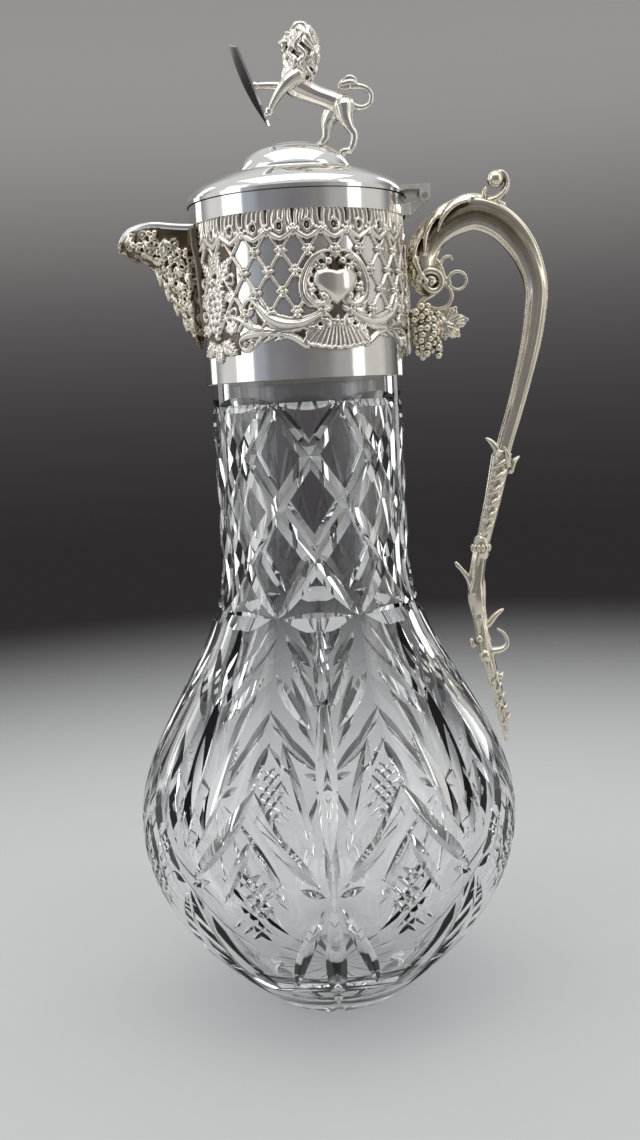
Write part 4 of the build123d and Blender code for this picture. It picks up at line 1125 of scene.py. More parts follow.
# %% Two trees that place balls
def scattered_balls():
    """Balls of slightly different size all over a surface, none nearer than Distance to the next."""
    tree, given, result = ball_tree("scattered_balls", [("Radius", "Float"), ("Distance", "Float"),
                                                        ("Seed", "Int"), ("Material", "Material")])
    points = add_node(tree, "GeometryNodeDistributePointsOnFaces",
                      {"Mesh": given["Geometry"], "Distance Min": given["Distance"],
                       "Density Max": 6e6, "Seed": given["Seed"]}, distribute_method="POISSON")
    ball = add_node(tree, "GeometryNodeMeshUVSphere",
                    {"Segments": 18, "Rings": 12, "Radius": given["Radius"]})
    size = add_node(tree, "FunctionNodeRandomValue", {2: 0.8, 3: 1.12, "Seed": given["Seed"]})
    return balls_on(tree, given, result, points, ball, size.outputs[1])


def ring_of_balls():
    """Tall balls in a level ring about a place."""
    tree, given, result = ball_tree("ring_of_balls", [("Radius", "Float"), ("Count", "Int"),
                                                      ("Ring radius", "Float"), ("Place", "Vector"),
                                                      ("Material", "Material")])
    ring = add_node(tree, "GeometryNodeMeshCircle",
                    {"Vertices": given["Count"], "Radius": given["Ring radius"]})
    moved = add_node(tree, "GeometryNodeTransform", {"Geometry": ring, "Translation": given["Place"]})
    ball = add_node(tree, "GeometryNodeMeshUVSphere",
                    {"Segments": 16, "Rings": 12, "Radius": given["Radius"]})
    size = add_node(tree, "ShaderNodeCombineXYZ", {0: 1.0, 1: 1.0, 2: 1.7})
    return balls_on(tree, given, result, moved, ball, size)


SCATTERED, RING_OF_BALLS = scattered_balls(), ring_of_balls()
print("node trees:", SCATTERED.name, RING_OF_BALLS.name)

# %% Run a tree on a piece
def grown(piece, tree, **sizes):
    """Run a tree on a piece that no one has evaluated yet, and keep what it makes."""
    change = piece.modifiers.new(tree.name, "NODES")
    change.node_group = tree
    for socket in tree.interface.items_tree:
        label = socket.name.replace(" ", "_").lower()
        if label in sizes:
            change[socket.identifier] = sizes[label]
    keep_changes(piece)
    return piece


print("inputs:", [item.name for item in SCATTERED.interface.items_tree])

# %% [markdown]
# ## The handle
# The handle is one bold scroll. It starts in a small volute at the collar, rises, turns over and runs
# down as a tapering bar with shallow flutes, which a hand grips well and which make a thin casting
# look slender. An acanthus leaf lies over its crown and ends in a little ball with a curl, a thumb
# rest. Lower down a sheath of leaf grips the bar, and below a ring it becomes a knotty vine branch.

# %% The line and the section of the handle
ARCH = [(0.15, -20.5, 8.6), (0.13, -13.4, 9.4), (0.205, -7.2, 8.8), (0.305, -3.2, 9.2), (0.435, -0.5, 10.2),
        (0.565, 0.35, 10.6), (0.72, -2.3, 10.4), (0.845, -7.3, 9.9), (0.94, -14.0, 8.8), (1.0, -23.3, 7.5)]
LEG = [(0.885, 0.962, 7.0), (0.773, 0.876, 6.5), (0.654, 0.748, 5.9), (0.533, 0.605, 5.6),
       (0.425, 0.462, 5.4), (0.351, 0.371, 5.4)]
ARCH_REACH = 41.9
RING_PLACE = (box_mm("handle_knuckle")[0].x / 2 + box_mm("handle_knuckle")[1].x / 2,
              box_mm("handle_knuckle")[0].z / 2 + box_mm("handle_knuckle")[1].z / 2)
HANDLE_RATIO = 0.86
CHANNEL = 1.25           # depth of the channel along each side of the arch


def arch_places():
    return [(OVERLAY_RADIUS + share * ARCH_REACH, 0, COLLAR_TOP + z, thickness / 2)
            for share, z, thickness in ARCH]


def leg_places(table):
    top_x, _, top_z, _ = arch_places()[-1]
    low_x, low_z = RING_PLACE
    return [(low_x + (top_x - low_x) * x, 0, low_z + (top_z - low_z) * z, thickness / 2)
            for z, x, thickness in table]


def section(share, turn):
    """A broad channel along each side of the arch, which turns into fine flutes down the leg."""
    from_side = degrees(abs(abs(atan2(sin(turn), cos(turn))) - pi / 2))
    inside = np.clip((52 - from_side) / 22, 0, 1)
    on_arch = np.clip((0.66 - share) / 0.2, 0, 1) * np.clip((share - 0.06) / 0.1, 0, 1)
    channel = CHANNEL * inside * inside * (3 - 2 * inside) - 0.22 * exp(-(from_side - 6) ** 2 / 14)
    fine = 0.42 * abs(sin(radians(from_side) * 180 / 38 + 0.9)) ** 2 * (from_side < 62)
    return -channel * on_arch - fine * (1 - on_arch) * np.clip((share - 0.3) / 0.2, 0, 1)


print("the handle reaches", round(ARCH_REACH + OVERLAY_RADIUS, 1), "mm from the jug's axis")

# %% The volute and the acanthus leaf
SPIRAL_STEPS = 26


def spiral(middle, start, turns, first, last, radius, y=0.0):
    """A flat spiral in the xz plane as places for a bar."""
    places = []
    for share in np.arange(SPIRAL_STEPS + 1) / SPIRAL_STEPS:
        angle = radians(start) + 2 * pi * turns * share
        out = first + (last - first) * share
        places.append((middle[0] + out * cos(angle), y, middle[1] + out * sin(angle),
                       radius * (1 - 0.35 * share)))
    return places


def crown_leaf():
    """The acanthus leaf over the first half of the arch: swept side blades and a spine."""
    line = smooth_line(arch_places(), 12)
    ways = np.gradient(line[:, :3], axis=0)
    sideways = np.array((0, HANDLE_RATIO, 0))

    def over(share, turn, out):
        """A place on the arch's surface; turn is 0 on its back and 90 at its side."""
        index = min(int(share * (len(line) - 1)), len(line) - 1)
        back = np.cross(unit(ways[index]), (0, 1, 0))
        radius = line[index][3] + out
        return line[index][:3] + radius * (back * cos(radians(turn)) + sideways * sin(radians(turn)))

    blades = []
    for side in (-1, 1):
        for index in range(12):
            root, reach = 0.60 - 0.03 * index, 0.22 + 0.004 * index
            places = []
            for t in (0, 0.25, 0.5, 0.75, 1.0):
                turn = (4 + 13 * (index % 4) + 48 * t ** 2.0) * side
                spot = over(root - reach * t, turn, 0.15 + 0.35 * sin(pi * t))
                places.append((*spot, 0.25 + 0.85 * sin(pi * (0.12 + 0.8 * t))))
            blades.append(bar(places, across=(0, 0.2, 1), ratio=0.75, around=10, steps=4))
    spine = [(*over(0.66 - 0.56 * step / 8, 0, 0.35), 0.75) for step in range(9)]
    return blades + [bar(spine, around=10, steps=6)]


print("the acanthus leaf has", len(crown_leaf()), "blades")

# %% Cast the scroll of the handle
def painted_channel_shade(places):
    """Painted shade in the side channels of the arch, in the brown of the tarnish: by nearness to the spine
    and the angle from the side.
    """
    line = smooth_line(arch_places() + leg_places(LEG), 8)
    ways = np.gradient(line[:, :3], axis=0)
    ways /= np.linalg.norm(ways, axis=1)[:, None]
    gap = np.linalg.norm(places[:, None, :] - line[None, :, :3], axis=2)
    index = gap.argmin(axis=1)
    away = places - line[index, :3]
    lift = np.abs((away * np.cross(ways[index], (0, 1, 0))).sum(axis=1))
    from_side = np.degrees(np.arctan2(lift, np.abs(away[:, 1]) / HANDLE_RATIO))
    share = index / (len(line) - 1)
    deep = np.clip(1.0 - np.hypot(lift, away[:, 1] / HANDLE_RATIO) / line[index, 3], 0, 0.12) / 0.12
    return np.clip((40 - from_side) / 14, 0, 1) * np.clip((0.64 - share) / 0.2, 0, 1) * deep * 0.8


scroll_places = arch_places() + leg_places(LEG)
foot_x, _, foot_z, _ = scroll_places[0]
handle_shells = [bar(scroll_places, ratio=HANDLE_RATIO, around=72, steps=12, relief=section)]
for side in (-1, 1):
    volute = spiral((foot_x + 1.8, foot_z - 0.4), 165, -1.45, 4.3, 0.7, 1.25, y=side * 3.0)
    handle_shells.append(bar(volute, around=12, steps=3))
    handle_shells.append(egg((foot_x + 1.8, side * 3.1, foot_z - 0.4), (1.1, 1.1, 1.1)))
handle_shells.append(egg((foot_x + 1.4, 0, foot_z - 0.1), (4.2, 2.7, 4.3)))
handle_shells += crown_leaf()
# The side channels of the arch get painted shade.
handle = cast("handle_scroll_casting", handle_shells, 0.36, 1, painted_channel_shade)
settle(handle, "jug", "silver_cast", CAST_SILVER, "handle_scroll")

# %% The leaf that carries the handle
def saddle_shells():
    """A long leaf of wax laid up the collar: a midrib and pairs of side blades."""
    low, high = box_mm("handle_saddle")
    x, half = high.x - 1.0, high.y - 0.8
    shells = [bar([(x, 0, low.z + 0.8, 0.7), (x, 0, (low.z + high.z) / 2, 0.95), (x, 0, high.z - 1.0, 0.6)],
                  ratio=1.1)]
    count = 9
    for index in range(count):
        z = low.z + 0.6 + (high.z - low.z - 5.5) * index / (count - 1)
        reach = half * (0.72 + 0.28 * sin(pi * (index + 0.6) / count))
        for side in (-1, 1):
            shells.append(bar([(x, 0, z, 0.6), (x - 0.1, side * reach * 0.45, z + 1.2, 1.25),
                               (x - 0.35, side * reach * 0.85, z + 3.0, 1.1),
                               (x - 0.5, side * reach, z + 4.2, 0.5)],
                              across=(1, 0, 0), ratio=0.62, around=12, steps=5))
    return shells


settle(cast("saddle_leaf_casting", saddle_shells(), 0.22, 1), "jug", "silver_plate", CHASED_SILVER,
       "handle_saddle")

# %% [markdown]
# ## The thumb's ball
# A little ball stands on top of the handle, with a stem that curls up beside it. Both are plain round
# forms, so an egg and two tapering bars make them, and the melt gives them a casting's soft joint.

# %% The ball and its curl
crown_x, _, crown_z, crown_r = arch_places()[6]
crest = crown_z + crown_r
ball_place = (crown_x - 0.2, 0, crest + 7.9)
thumb = [egg(ball_place, (2.75, 2.75, 2.75), across=24),
         bar(from_here(crown_x, crest, [(-7.5, 0, 0.2, 1.3), (-3.0, 0, 0.9, 1.35), (0.8, 0, 2.4, 1.2),
                                        (3.1, 0, 5.0, 1.0), (3.5, 0, 7.6, 0.8), (2.3, 0, 9.8, 0.7),
                                        (0.6, 0, 10.3, 0.5)]), ratio=1.6, around=20, steps=10),
         bar(from_here(crown_x, crest, [(-3.6, 0, 1.4, 0.8), (-4.2, 0, 3.6, 0.7), (-3.4, 0, 5.2, 0.6)]),
             ratio=1.6)]
settle(cast("thumb_scroll_casting", thumb, 0.18, 4), "jug", "silver_cast", CAST_SILVER, "thumb_scroll")

# %% [markdown]
# ## The lower end of the handle
# Below the scroll the handle turns into a plant: a sheath of leaves, a ring with beads, and a vine
# branch that ends by the belly. Each has one long bar as its core. Flutes and bark are relief, which
# follows from the place along and round that bar, and blades and buds are short bars melted to it.

# %% The sheath
SHEATH = [(0.351, 0.371, 7.0), (0.202, 0.233, 6.0), (0.04, 0.057, 4.9), (0.0, 0.03, 4.8)]
BRANCH = [(0.0, 0.4, 5.2), (0.13, 2.4, 5.3), (0.24, 3.4, 6.2), (0.37, 3.4, 4.7), (0.5, 2.9, 4.6),
          (0.63, 2.0, 4.5), (0.76, 1.0, 4.1), (0.89, 0.25, 3.2), (1.0, 0.0, 1.8)]
TIP_PLACE = (box_mm("handle_branch")[1].x - 0.6, box_mm("handle_branch")[0].z + 0.4)


def sheath_shells():
    top, low = leg_places(SHEATH)[0], leg_places(SHEATH)[-1]
    shells = [bar(leg_places(SHEATH), ratio=HANDLE_RATIO, around=32,
                  relief=lambda share, turn: 0.12 * cos(10 * turn) - 0.2)]
    way = unit(np.array(low[:3]) - np.array(top[:3]))
    out = np.cross(way, (0, 1, 0))
    # Side blades that curl upwards, in pairs down the sheath, and two free tips at its top.
    for side in (-1, 1):
        for index in range(6):
            start = np.array(top[:3]) + way * (4.5 + 4.4 * index)
            width = 3.0 - 0.2 * index
            places = []
            for t in (0, 0.3, 0.6, 0.85, 1.0):
                angle = radians(-60 + 125 * t)
                spot = start - way * 6.0 * t ** 1.3 + out * width * sin(angle)
                spot = spot + np.array((0, side * HANDLE_RATIO * (width + 0.3) * cos(angle), 0))
                places.append((*spot, 0.35 + 0.4 * sin(pi * t)))
            shells.append(bar(places, across=(0.3, 1, 0), around=10, steps=5))
    for places in ([(62.0, 0, 177.5, 1.5), (60.6, 0, 180.6, 1.2), (59.0, 0, 182.6, 0.8),
                    (57.8, 0, 183.5, 0.4)],
                   [(65.4, 0, 172.6, 1.2), (66.6, 0, 175.4, 1.0), (68.2, 0, 176.9, 0.45)],
                   [(64.4, 2.0, 174.5, 1.0), (64.3, 2.8, 177.6, 0.9), (63.2, 3.0, 180.4, 0.35)],
                   [(64.4, -2.0, 174.5, 1.0), (64.3, -2.8, 177.6, 0.9), (63.2, -3.0, 180.4, 0.35)]):
        shells.append(bar(places, ratio=1.3, around=10))
    return shells


settle(cast("leaf_sheath_casting", sheath_shells(), 0.24, 1), "jug", "silver_cast", CAST_SILVER,
       "handle_sheath")

# %% The ring
ring_x, ring_z = RING_PLACE
ring_core = [bar([(ring_x + 0.3, 0, ring_z + 1.9, 2.8), (ring_x - 0.1, 0, ring_z - 1.9, 2.8)], ratio=0.95)]
knuckle = grown(cast("beaded_ring_casting", ring_core, 0.18, 1), RING_OF_BALLS, radius=0.78 * MM, count=13,
                ring_radius=2.7 * MM, place=(ring_x * MM, 0, ring_z * MM), material=CAST_SILVER)
settle(knuckle, "jug", "silver_cast", CAST_SILVER, "handle_knuckle")

# %% The vine branch
def bark(share, turn):
    """Ridges that wind round the branch, with knots along them."""
    return 0.16 * cos(7 * turn + 9 * share) + 0.1 * sin(40 * share + 3 * turn)


def branch_shells():
    tip_x, tip_z = TIP_PLACE
    spine = [(ring_x + (tip_x - ring_x) * share - bow, 0, ring_z + (tip_z - ring_z) * share,
              thickness / 2 - 0.15) for share, bow, thickness in BRANCH]
    shells = [bar(spine, around=30, steps=9, relief=bark)]
    tendrils = [
        [(51.4, 0, 134.5, 1.5), (50.4, 0, 137.6, 1.1), (48.2, 0, 140.6, 0.7), (46.9, 0.3, 142.2, 0.75),
         (46.3, 0.3, 143.1, 0.5)],
        [(56.2, 0, 122.0, 1.2), (58.2, 0, 124.4, 1.0), (60.0, 0, 126.0, 0.75), (61.2, 0, 126.7, 0.5)],
        [(55.2, 0, 112.2, 1.4), (57.6, 0, 113.0, 1.3), (60.4, 0, 113.4, 1.1), (62.3, 0, 115.2, 0.8),
         (61.6, 0, 118.2, 0.6), (59.2, 0, 120.3, 0.4)],
        [(58.4, 0, 103.6, 1.1), (59.6, 0, 104.4, 1.1), (60.2, 0.2, 105.0, 0.8)],
        [(51.0, 0, 115.5, 1.2), (50.5, 0, 117.0, 0.8)]]
    for places in tendrils:
        shells.append(bar(places, ratio=1.25, around=10))
    for x, z, radius in ((51.6, 133.2, 1.6), (54.6, 111.6, 1.9), (53.4, 124.6, 1.2), (56.6, 103.0, 1.1),
                         (58.6, 94.6, 0.9), (53.0, 117.4, 1.1)):
        for side in (-1, 1):
            shells.append(egg((x, side * 1.6, z), (radius, radius * 0.8, radius * 1.2)))
    for index in range(5):
        z = 101.5 - 3.6 * index
        x = 57.6 + 0.85 * index
        for side in (-1, 1):
            shells.append(bar([(x - 1.2, side * 0.4, z, 0.45), (x, side * 1.7, z + 2.2, 0.5),
                               (x + 1.3, side * 0.9, z + 4.4, 0.3)], around=8, steps=5))
    return shells


settle(cast("vine_branch_casting", branch_shells(), 0.24, 1), "jug", "silver_cast", CAST_SILVER,
       "handle_branch")

# %% [markdown]
# ## The vine under the handle
# Wine jugs of this kind like to tell what they hold. A wire tendril, a vine leaf and a bunch of grapes
# hang under the handle's volute. Tendrils are drawn wire, the leaf is a flat casting with veins, and
# grapes are small balls soldered together, each catching its own point of light.

# %% The tendril
wires = [spiral((foot_x + 10.4, foot_z + 0.2), 200, -1.05, 2.95, 2.75, 0.62)]
wires += [from_here(foot_x, foot_z, places) for places in (
    [(7.9, 0, -0.4, 0.6), (6.2, 0, 1.4, 0.65), (5.4, 0, 4.2, 0.7), (4.0, 0, 6.6, 0.75), (2.8, 0, 8.0, 0.6)],
    [(4.6, 0, 5.2, 0.7), (6.4, 0.2, 7.6, 0.6), (8.2, 0.2, 8.0, 0.5), (8.9, 0.2, 6.9, 0.4)],
    [(4.4, 0, 1.5, 0.5), (6.8, 0, -1.2, 0.6), (8.4, 0, -4.4, 0.7), (6.9, 0, -7.6, 0.65), (3.4, 0, -8.5, 0.6),
     (-0.2, 0, -7.0, 0.5)],
    [(2.6, 0, -3.6, 0.8), (-1.2, 0, -5.6, 0.9), (-2.8, 0, -9.0, 0.9)])]
settle(cast("tendril_wire", [bar(places, around=12, steps=4) for places in wires], 0.17, 1),
       "jug", "silver_cast", CAST_SILVER, "vine_tendril")

# %% The vine leaf
def vine_leaf_shells():
    """Five lobes about the stalk, each a bar pressed flat, with raised veins."""
    heart = np.array((45.6, 0.3, 220.9))
    shells = [egg(tuple(heart), (2.4, 0.7, 2.2))]
    for angle, length in ((8, 7.7), (52, 6.4), (100, 5.2), (-40, 6.2), (-88, 4.6), (150, 4.4)):
        way = np.array((cos(radians(angle)), 0.0, sin(radians(angle))))
        side = np.array((-way[2], 0, way[0]))
        outline = [(*(heart + way * length * t + np.array((0, 0.5 * sin(3 * t + angle), 0))), r)
                   for t, r in ((0.1, 1.4), (0.4, 2.2), (0.7, 2.4), (0.84, 1.9), (0.93, 1.0))]
        shells.append(bar(outline, thin=0.42, around=16, steps=5,
                          relief=lambda share, turn: -0.3 * abs(sin(3.5 * pi * share)) * cos(turn) ** 2))
        for lean in (-1, 0, 1):
            tip = heart + way * length * 0.82 + side * lean * 1.15
            start = heart + way * length * 0.2
            for face in (-1, 1):
                vein = []
                for t in (0, 0.5, 1):
                    spot = start + (tip - start) * t
                    vein.append((spot[0], spot[1] + face * 0.45 + 0.5 * sin(3 * t + angle), spot[2], 0.26))
                shells.append(bar(vein, around=8, steps=4))
    return shells


settle(cast("vine_leaf_casting", vine_leaf_shells(), 0.17, 1), "jug", "silver_cast", CAST_SILVER, "vine_leaf")

# %% The bunch of grapes
def bunch_shells():
    """The body of the bunch, its stalk and two small leaves, before the grapes go on."""
    shells = [bar([(39.4, 0, 224.2, 1.6), (39.6, 0, 222.0, 2.9), (39.8, 0, 219.2, 3.5), (39.7, 0, 216.4, 3.4),
                   (39.2, 0, 213.8, 2.6), (38.2, 0, 212.0, 1.4)], ratio=0.86),
              bar([(42.0, 0.1, 215.6, 1.1), (43.8, 0.2, 213.2, 1.0), (43.4, 0.2, 211.6, 0.7)]),
              bar([(35.4, 0, 224.8, 1.2), (39.0, 0, 225.2, 1.0), (43.4, 0, 224.2, 0.8)])]
    for side in (-1, 1):
        shells.append(flat_leaf([(36.5, side * 2.8, 222.5, 0.8), (38.0, side * 3.6, 225.0, 1.7),
                                 (40.6, side * 3.4, 226.4, 0.8)], (0, 1, 0)))
    return shells


grapes = grown(cast("grape_casting", bunch_shells(), 0.22, 1), SCATTERED, radius=1.3 * MM, distance=1.95 * MM,
               seed=8, material=CAST_SILVER)
settle(grapes, "jug", "silver_cast", CAST_SILVER, "grape_cluster")

# %% [markdown]
# ## The lion
# The finial is a heraldic lion, cast solid in brass and plated. It walks on its hind legs over the
# boss of the lid and holds a shield in its forepaws, which is where an owner's device would go. The
# shield is blank here. Its mane is locks of wax laid one over the other, so it is bars too. The shield
# is bowed across its width, with a swelling middle, so it shows a thin bright edge.

# %% The lion's body
def limb(places):
    return bar(places, around=14, steps=7)


def lion_shells():
    shells = [
        # trunk, chest and haunch
        limb([(0.6, 0, 299.2, 4.0), (2.6, 0, 297.2, 3.9), (7.4, 0, 294.6, 3.05), (12.2, 0, 292.6, 3.0),
              (16.6, 0, 290.6, 3.6)]),
        egg((1.0, 0, 300.4), (3.9, 4.2, 4.2), 20), egg((16.4, 0, 290.2), (3.7, 3.9, 4.1), -20),
        # neck and head
        limb([(2.6, 0, 301.0, 4.4), (4.4, 0, 306.0, 4.4), (4.2, 0, 311.0, 4.0)]),
        egg((2.4, 0, 311.2), (3.2, 3.0, 3.3)), egg((-0.9, 0, 310.3), (2.1, 1.7, 1.5), 12),
        egg((-0.2, 0, 311.7), (1.6, 1.3, 1.3), 25), egg((-2.5, 0, 310.9), (0.6, 0.75, 0.5)),
        egg((-1.0, 0, 308.0), (1.35, 1.3, 0.95), 10),
        bar([(-0.6, 0, 307.6, 1.1), (-1.1, 0, 306.0, 0.9), (-1.0, 0, 304.6, 0.4)]),
        # near hind leg, towards the viewer and back
        limb([(16.6, -2.2, 289.6, 3.4), (16.9, -3.0, 286.4, 2.5), (18.2, -3.3, 283.0, 1.45),
              (19.4, -3.4, 280.8, 1.3), (18.9, -3.4, 278.0, 1.15), (17.8, -3.4, 276.2, 1.2)]),
        egg((16.4, -3.4, 276.0), (2.2, 1.7, 1.2)),
        # far hind leg
        limb([(13.2, 2.2, 289.4, 3.1), (11.3, 2.9, 286.6, 2.3), (10.7, 3.1, 283.4, 1.4),
              (10.4, 3.1, 281.6, 1.25), (8.9, 3.0, 279.9, 1.1)]),
        egg((7.9, 3.0, 279.4), (1.9, 1.5, 1.05), -10),
        # arms
        limb([(2.6, -2.4, 299.8, 2.9), (0.2, -3.3, 298.4, 2.5), (-1.8, -3.7, 296.6, 2.0),
              (-4.4, -3.2, 293.6, 1.45), (-6.4, -2.4, 290.6, 1.15)]),
        egg((-7.1, -2.0, 289.6), (1.2, 1.1, 1.5), -30),
        limb([(1.0, 3.2, 299.8, 2.4), (-2.4, 3.0, 298.2, 1.7), (-6.4, 2.2, 298.4, 1.25),
              (-10.0, 1.7, 298.4, 1.1)]),
        egg((-11.2, 1.6, 298.4), (1.3, 1.2, 1.35))]
    # toes
    for x, y, z in ((15.0, -3.4, 275.6), (6.7, 3.0, 279.0), (-7.9, -2.0, 288.9), (-12.0, 1.6, 298.0)):
        for step in (-0.75, 0, 0.75):
            shells.append(egg((x, y + step, z), (0.85, 0.45, 0.6)))
    # brow, ears, cheeks and eyes
    for side in (-1, 1):
        shells += [egg((0.5, side * 1.4, 312.9), (1.5, 0.75, 0.55), 25),
                   egg((3.2, side * 2.7, 313.8), (0.9, 0.5, 1.1)),
                   egg((-1.3, side * 0.95, 309.3), (1.0, 0.7, 0.8)),
                   egg((0.9, side * 2.2, 309.4), (1.2, 0.8, 1.5)),
                   egg((-0.2, side * 1.35, 311.9), (0.4, 0.4, 0.4))]
    return shells


print("the lion's body is built up from", len(lion_shells()), "pieces of wax")

# %% The mane
MANE_ROWS = [(0.0, 92, 6), (0.22, 100, 6), (0.45, 128, 7), (0.7, 165, 9), (0.95, 172, 9)]


def mane_shells():
    """A curl on the crown, and thick wavy locks that start behind the face and fall in rows."""
    rng = np.random.default_rng(11)
    shells = [bar([(0.9, 0, 313.2, 0.9), (1.9, 0, 314.6, 1.0), (2.9, 0, 315.7, 1.0), (4.2, 0, 316.1, 0.9),
                   (5.6, 0, 315.6, 0.9), (6.3, 0, 314.0, 0.8)], ratio=1.25),
              bar([(2.4, 0, 315.0, 0.5), (2.2, 0, 316.0, 0.45), (3.0, 0, 316.6, 0.4)], ratio=2.0)]
    for row, (level, spread, count) in enumerate(MANE_ROWS):
        for index in range(count):
            turn = radians(-spread + 2 * spread * index / (count - 1) + rng.uniform(-6, 6))
            middle = np.array((4.3 - 1.6 * level, 0, 314.2 - 10.6 * level))
            reach = 3.0 + 1.2 * sin(pi * min(1, level * 0.95 + 0.1))
            out = np.array((cos(turn), sin(turn), 0.0))
            across = np.array((-out[1], out[0], 0.0))
            places = []
            for t in (0, 0.2, 0.4, 0.6, 0.8, 0.93, 1.0):
                wave = 0.95 * sin(6.2 * t + 1.9 * index + row)
                spot = middle + out * (reach - 0.9 + 1.7 * sin(pi * min(1, 0.72 * t))) + across * wave
                spot = spot + np.array((0.7 * t, 0, -6.0 * t))
                places.append((*spot, 1.35 * (1 - 0.72 * t ** 2)))
            shells.append(bar(places, around=8, steps=4, across=tuple(across + (0, 0, 0.01)), ratio=0.85))
    return shells


settle(cast("lion_casting", lion_shells() + mane_shells(), 0.19, 2), "lid", "silver_cast", CHASED_SILVER,
       "lion_body")

# %% The tail
tail = [bar([(18.6, 0, 291.0, 1.3), (20.6, 0, 290.0, 1.05), (22.8, 0, 289.8, 0.85), (25.0, 0, 291.0, 0.8),
             (25.5, 0, 293.4, 0.78), (24.3, 0, 295.3, 0.8), (22.2, 0, 296.2, 0.95), (19.6, 0, 296.4, 1.1)])]
for rise, spread in ((1.6, 0.8), (0.6, -0.6), (-0.5, 0.5)):
    tail.append(bar([(21.4, 0.2 * spread, 296.2 + 0.3 * rise, 0.7), (19.2, spread, 296.9 + rise, 0.95),
                     (17.0, spread, 296.7 + rise, 0.8), (15.3, 0.6 * spread, 296.6 + 0.4 * rise, 0.4)]))
tail.append(bar([(21.0, 0, 296.6, 0.6), (20.2, 0, 298.6, 0.8), (18.6, 0, 299.3, 0.7), (17.2, 0, 298.6, 0.4)]))
settle(cast("lion_tail_casting", tail, 0.16, 1), "lid", "silver_cast", CHASED_SILVER, "lion_tail")

# %% The shield
SHIELD_TOP = np.array((-17.1, 0, 311.3))       # the straight edges start here
SHIELD_FALL = np.array((9.8, 0, -25.7))        # and fall by this to the point
SHIELD_WIDTH = [(0.0, 1.0), (0.12, 1.0), (0.3, 1.0), (0.45, 0.97), (0.65, 0.78), (0.82, 0.48), (1.0, 0.02)]
SHIELD_BELLY = [(0.0, 1.3), (0.2, 2.0), (0.45, 2.2), (0.65, 1.8), (0.82, 1.1), (1.0, 0.1)]
SHIELD_THICK = 0.7
TOP_DIP = 0.12                                 # the top edge lies this much lower at its corners


def bowed_shield():
    """A heater shield bowed across its width; its edges are straight and its middle swells."""
    half = box_mm("shield")[1].y - 0.1
    taper, belly = smooth_line(SHIELD_WIDTH), smooth_line(SHIELD_BELLY)
    front = -unit(np.array((-SHIELD_FALL[2], 0, SHIELD_FALL[0])))
    columns, rows = 28, 32
    points = []
    for side in (-1, 1):
        for t in 2 * np.arange(columns + 1) / columns - 1:
            keel = ((t * t + 0.03) ** 0.5 - 0.173) / 0.842
            dip = TOP_DIP * abs(t)
            for row in range(rows + 1):
                share = dip + (1 - dip) * row / rows
                swell = np.interp(share, belly[:, 0], belly[:, 1]) * (1 - keel) + SHIELD_THICK / 2 * side
                place = SHIELD_TOP + SHIELD_FALL * share + front * swell
                points.append((place[0], half * t * np.interp(share, taper[:, 0], taper[:, 1]), place[2]))
    piece = new_piece("bowed_shield", points, closed_sheet(columns + 1, rows + 1))
    face_outwards(piece.data)
    piece.data.set_sharp_from_angle(angle=radians(40))
    return piece


settle(bowed_shield(), "lid", "silver_plate", BRIGHT_SILVER, "shield")

# %% [markdown]
# ## The spout
# The spout is cast as an open trough and soldered over a slot in the collar. Its wall is thick with
# vine leaves and grapes, which hide the joint, and a plain polished edge runs round the trough so
# that wine leaves it cleanly. The wall here is a closed sheet with leaves and grapes melted on it.

# %% The spout's form
# Each section is its depth, its reach and its half width, as shares of the whole spout's.
SPOUT_SECTIONS = [(1.0, 0.02, 0.32), (0.86, 0.09, 0.58), (0.72, 0.2, 0.78), (0.6, 0.3, 0.9),
                  (0.44, 0.42, 0.96), (0.34, 0.5, 1.0), (0.27, 0.66, 1.0), (0.21, 0.86, 1.0),
                  (0.16, 0.97, 1.0), (0.08, 1.0, 1.0), (-0.1, 0.96, 1.0)]
SPOUT_DEPTH = 38.0
SPOUT_REACH = 24.7
SPOUT_HALF_WIDTH = 12.0
SPOUT_WALL = 1.6
SPOUT_BACK = COLLAR_RADIUS - 2.5       # each section turns about a line this far from the jug's axis
NOSE_X = -(COLLAR_RADIUS + SPOUT_REACH)
spout_curve = smooth_line(SPOUT_SECTIONS, 8)[::-1]
edge_curve = smooth_line([(NOSE_X, -2.6), (NOSE_X * 0.93, 0.6), (NOSE_X * 0.8, 1.7), (-COLLAR_RADIUS, 0.2),
                          (0, 0)], 10)


def section_at(z):
    """The reach and the half width of the spout at a height, in millimetres."""
    depth = (COLLAR_TOP - z) / SPOUT_DEPTH
    reach = SPOUT_REACH * np.interp(depth, spout_curve[:, 0], spout_curve[:, 1])
    width = SPOUT_HALF_WIDTH * np.interp(depth, spout_curve[:, 0], spout_curve[:, 2])
    return COLLAR_RADIUS - SPOUT_BACK + reach, width


def on_spout(turn, z, out=0.0):
    """A place on the spout; turn is 0 at the nose and 90 at the side next to the collar."""
    length, width = section_at(z)
    across, along = (width + out) * sin(radians(turn)), (length + out) * cos(radians(turn))
    return np.array((-SPOUT_BACK - along, across, z))


def spout_top(turn):
    """The height of the lip's edge in the direction turn."""
    z = COLLAR_TOP
    for _ in range(6):
        z = COLLAR_TOP + np.interp(on_spout(turn, z)[0], edge_curve[:, 0], edge_curve[:, 1])
    return z


def spout_wall():
    """A closed sheet: the outer face with the inner face one wall behind it."""
    low = COLLAR_TOP - SPOUT_DEPTH
    turns, levels = np.linspace(-90, 90, 61), np.linspace(0, 1, 41)
    outer, inner = [], []
    for turn in turns:
        top = spout_top(turn) - 0.9
        for level in levels:
            z = low + (top - low) * level
            outer.append(on_spout(turn, z))
            inner.append(on_spout(turn, z, -SPOUT_WALL))
    return outer + inner, closed_sheet(len(turns), len(levels))


print("the nose of the spout is", round(float(spout_top(0)), 1), "mm over the table")

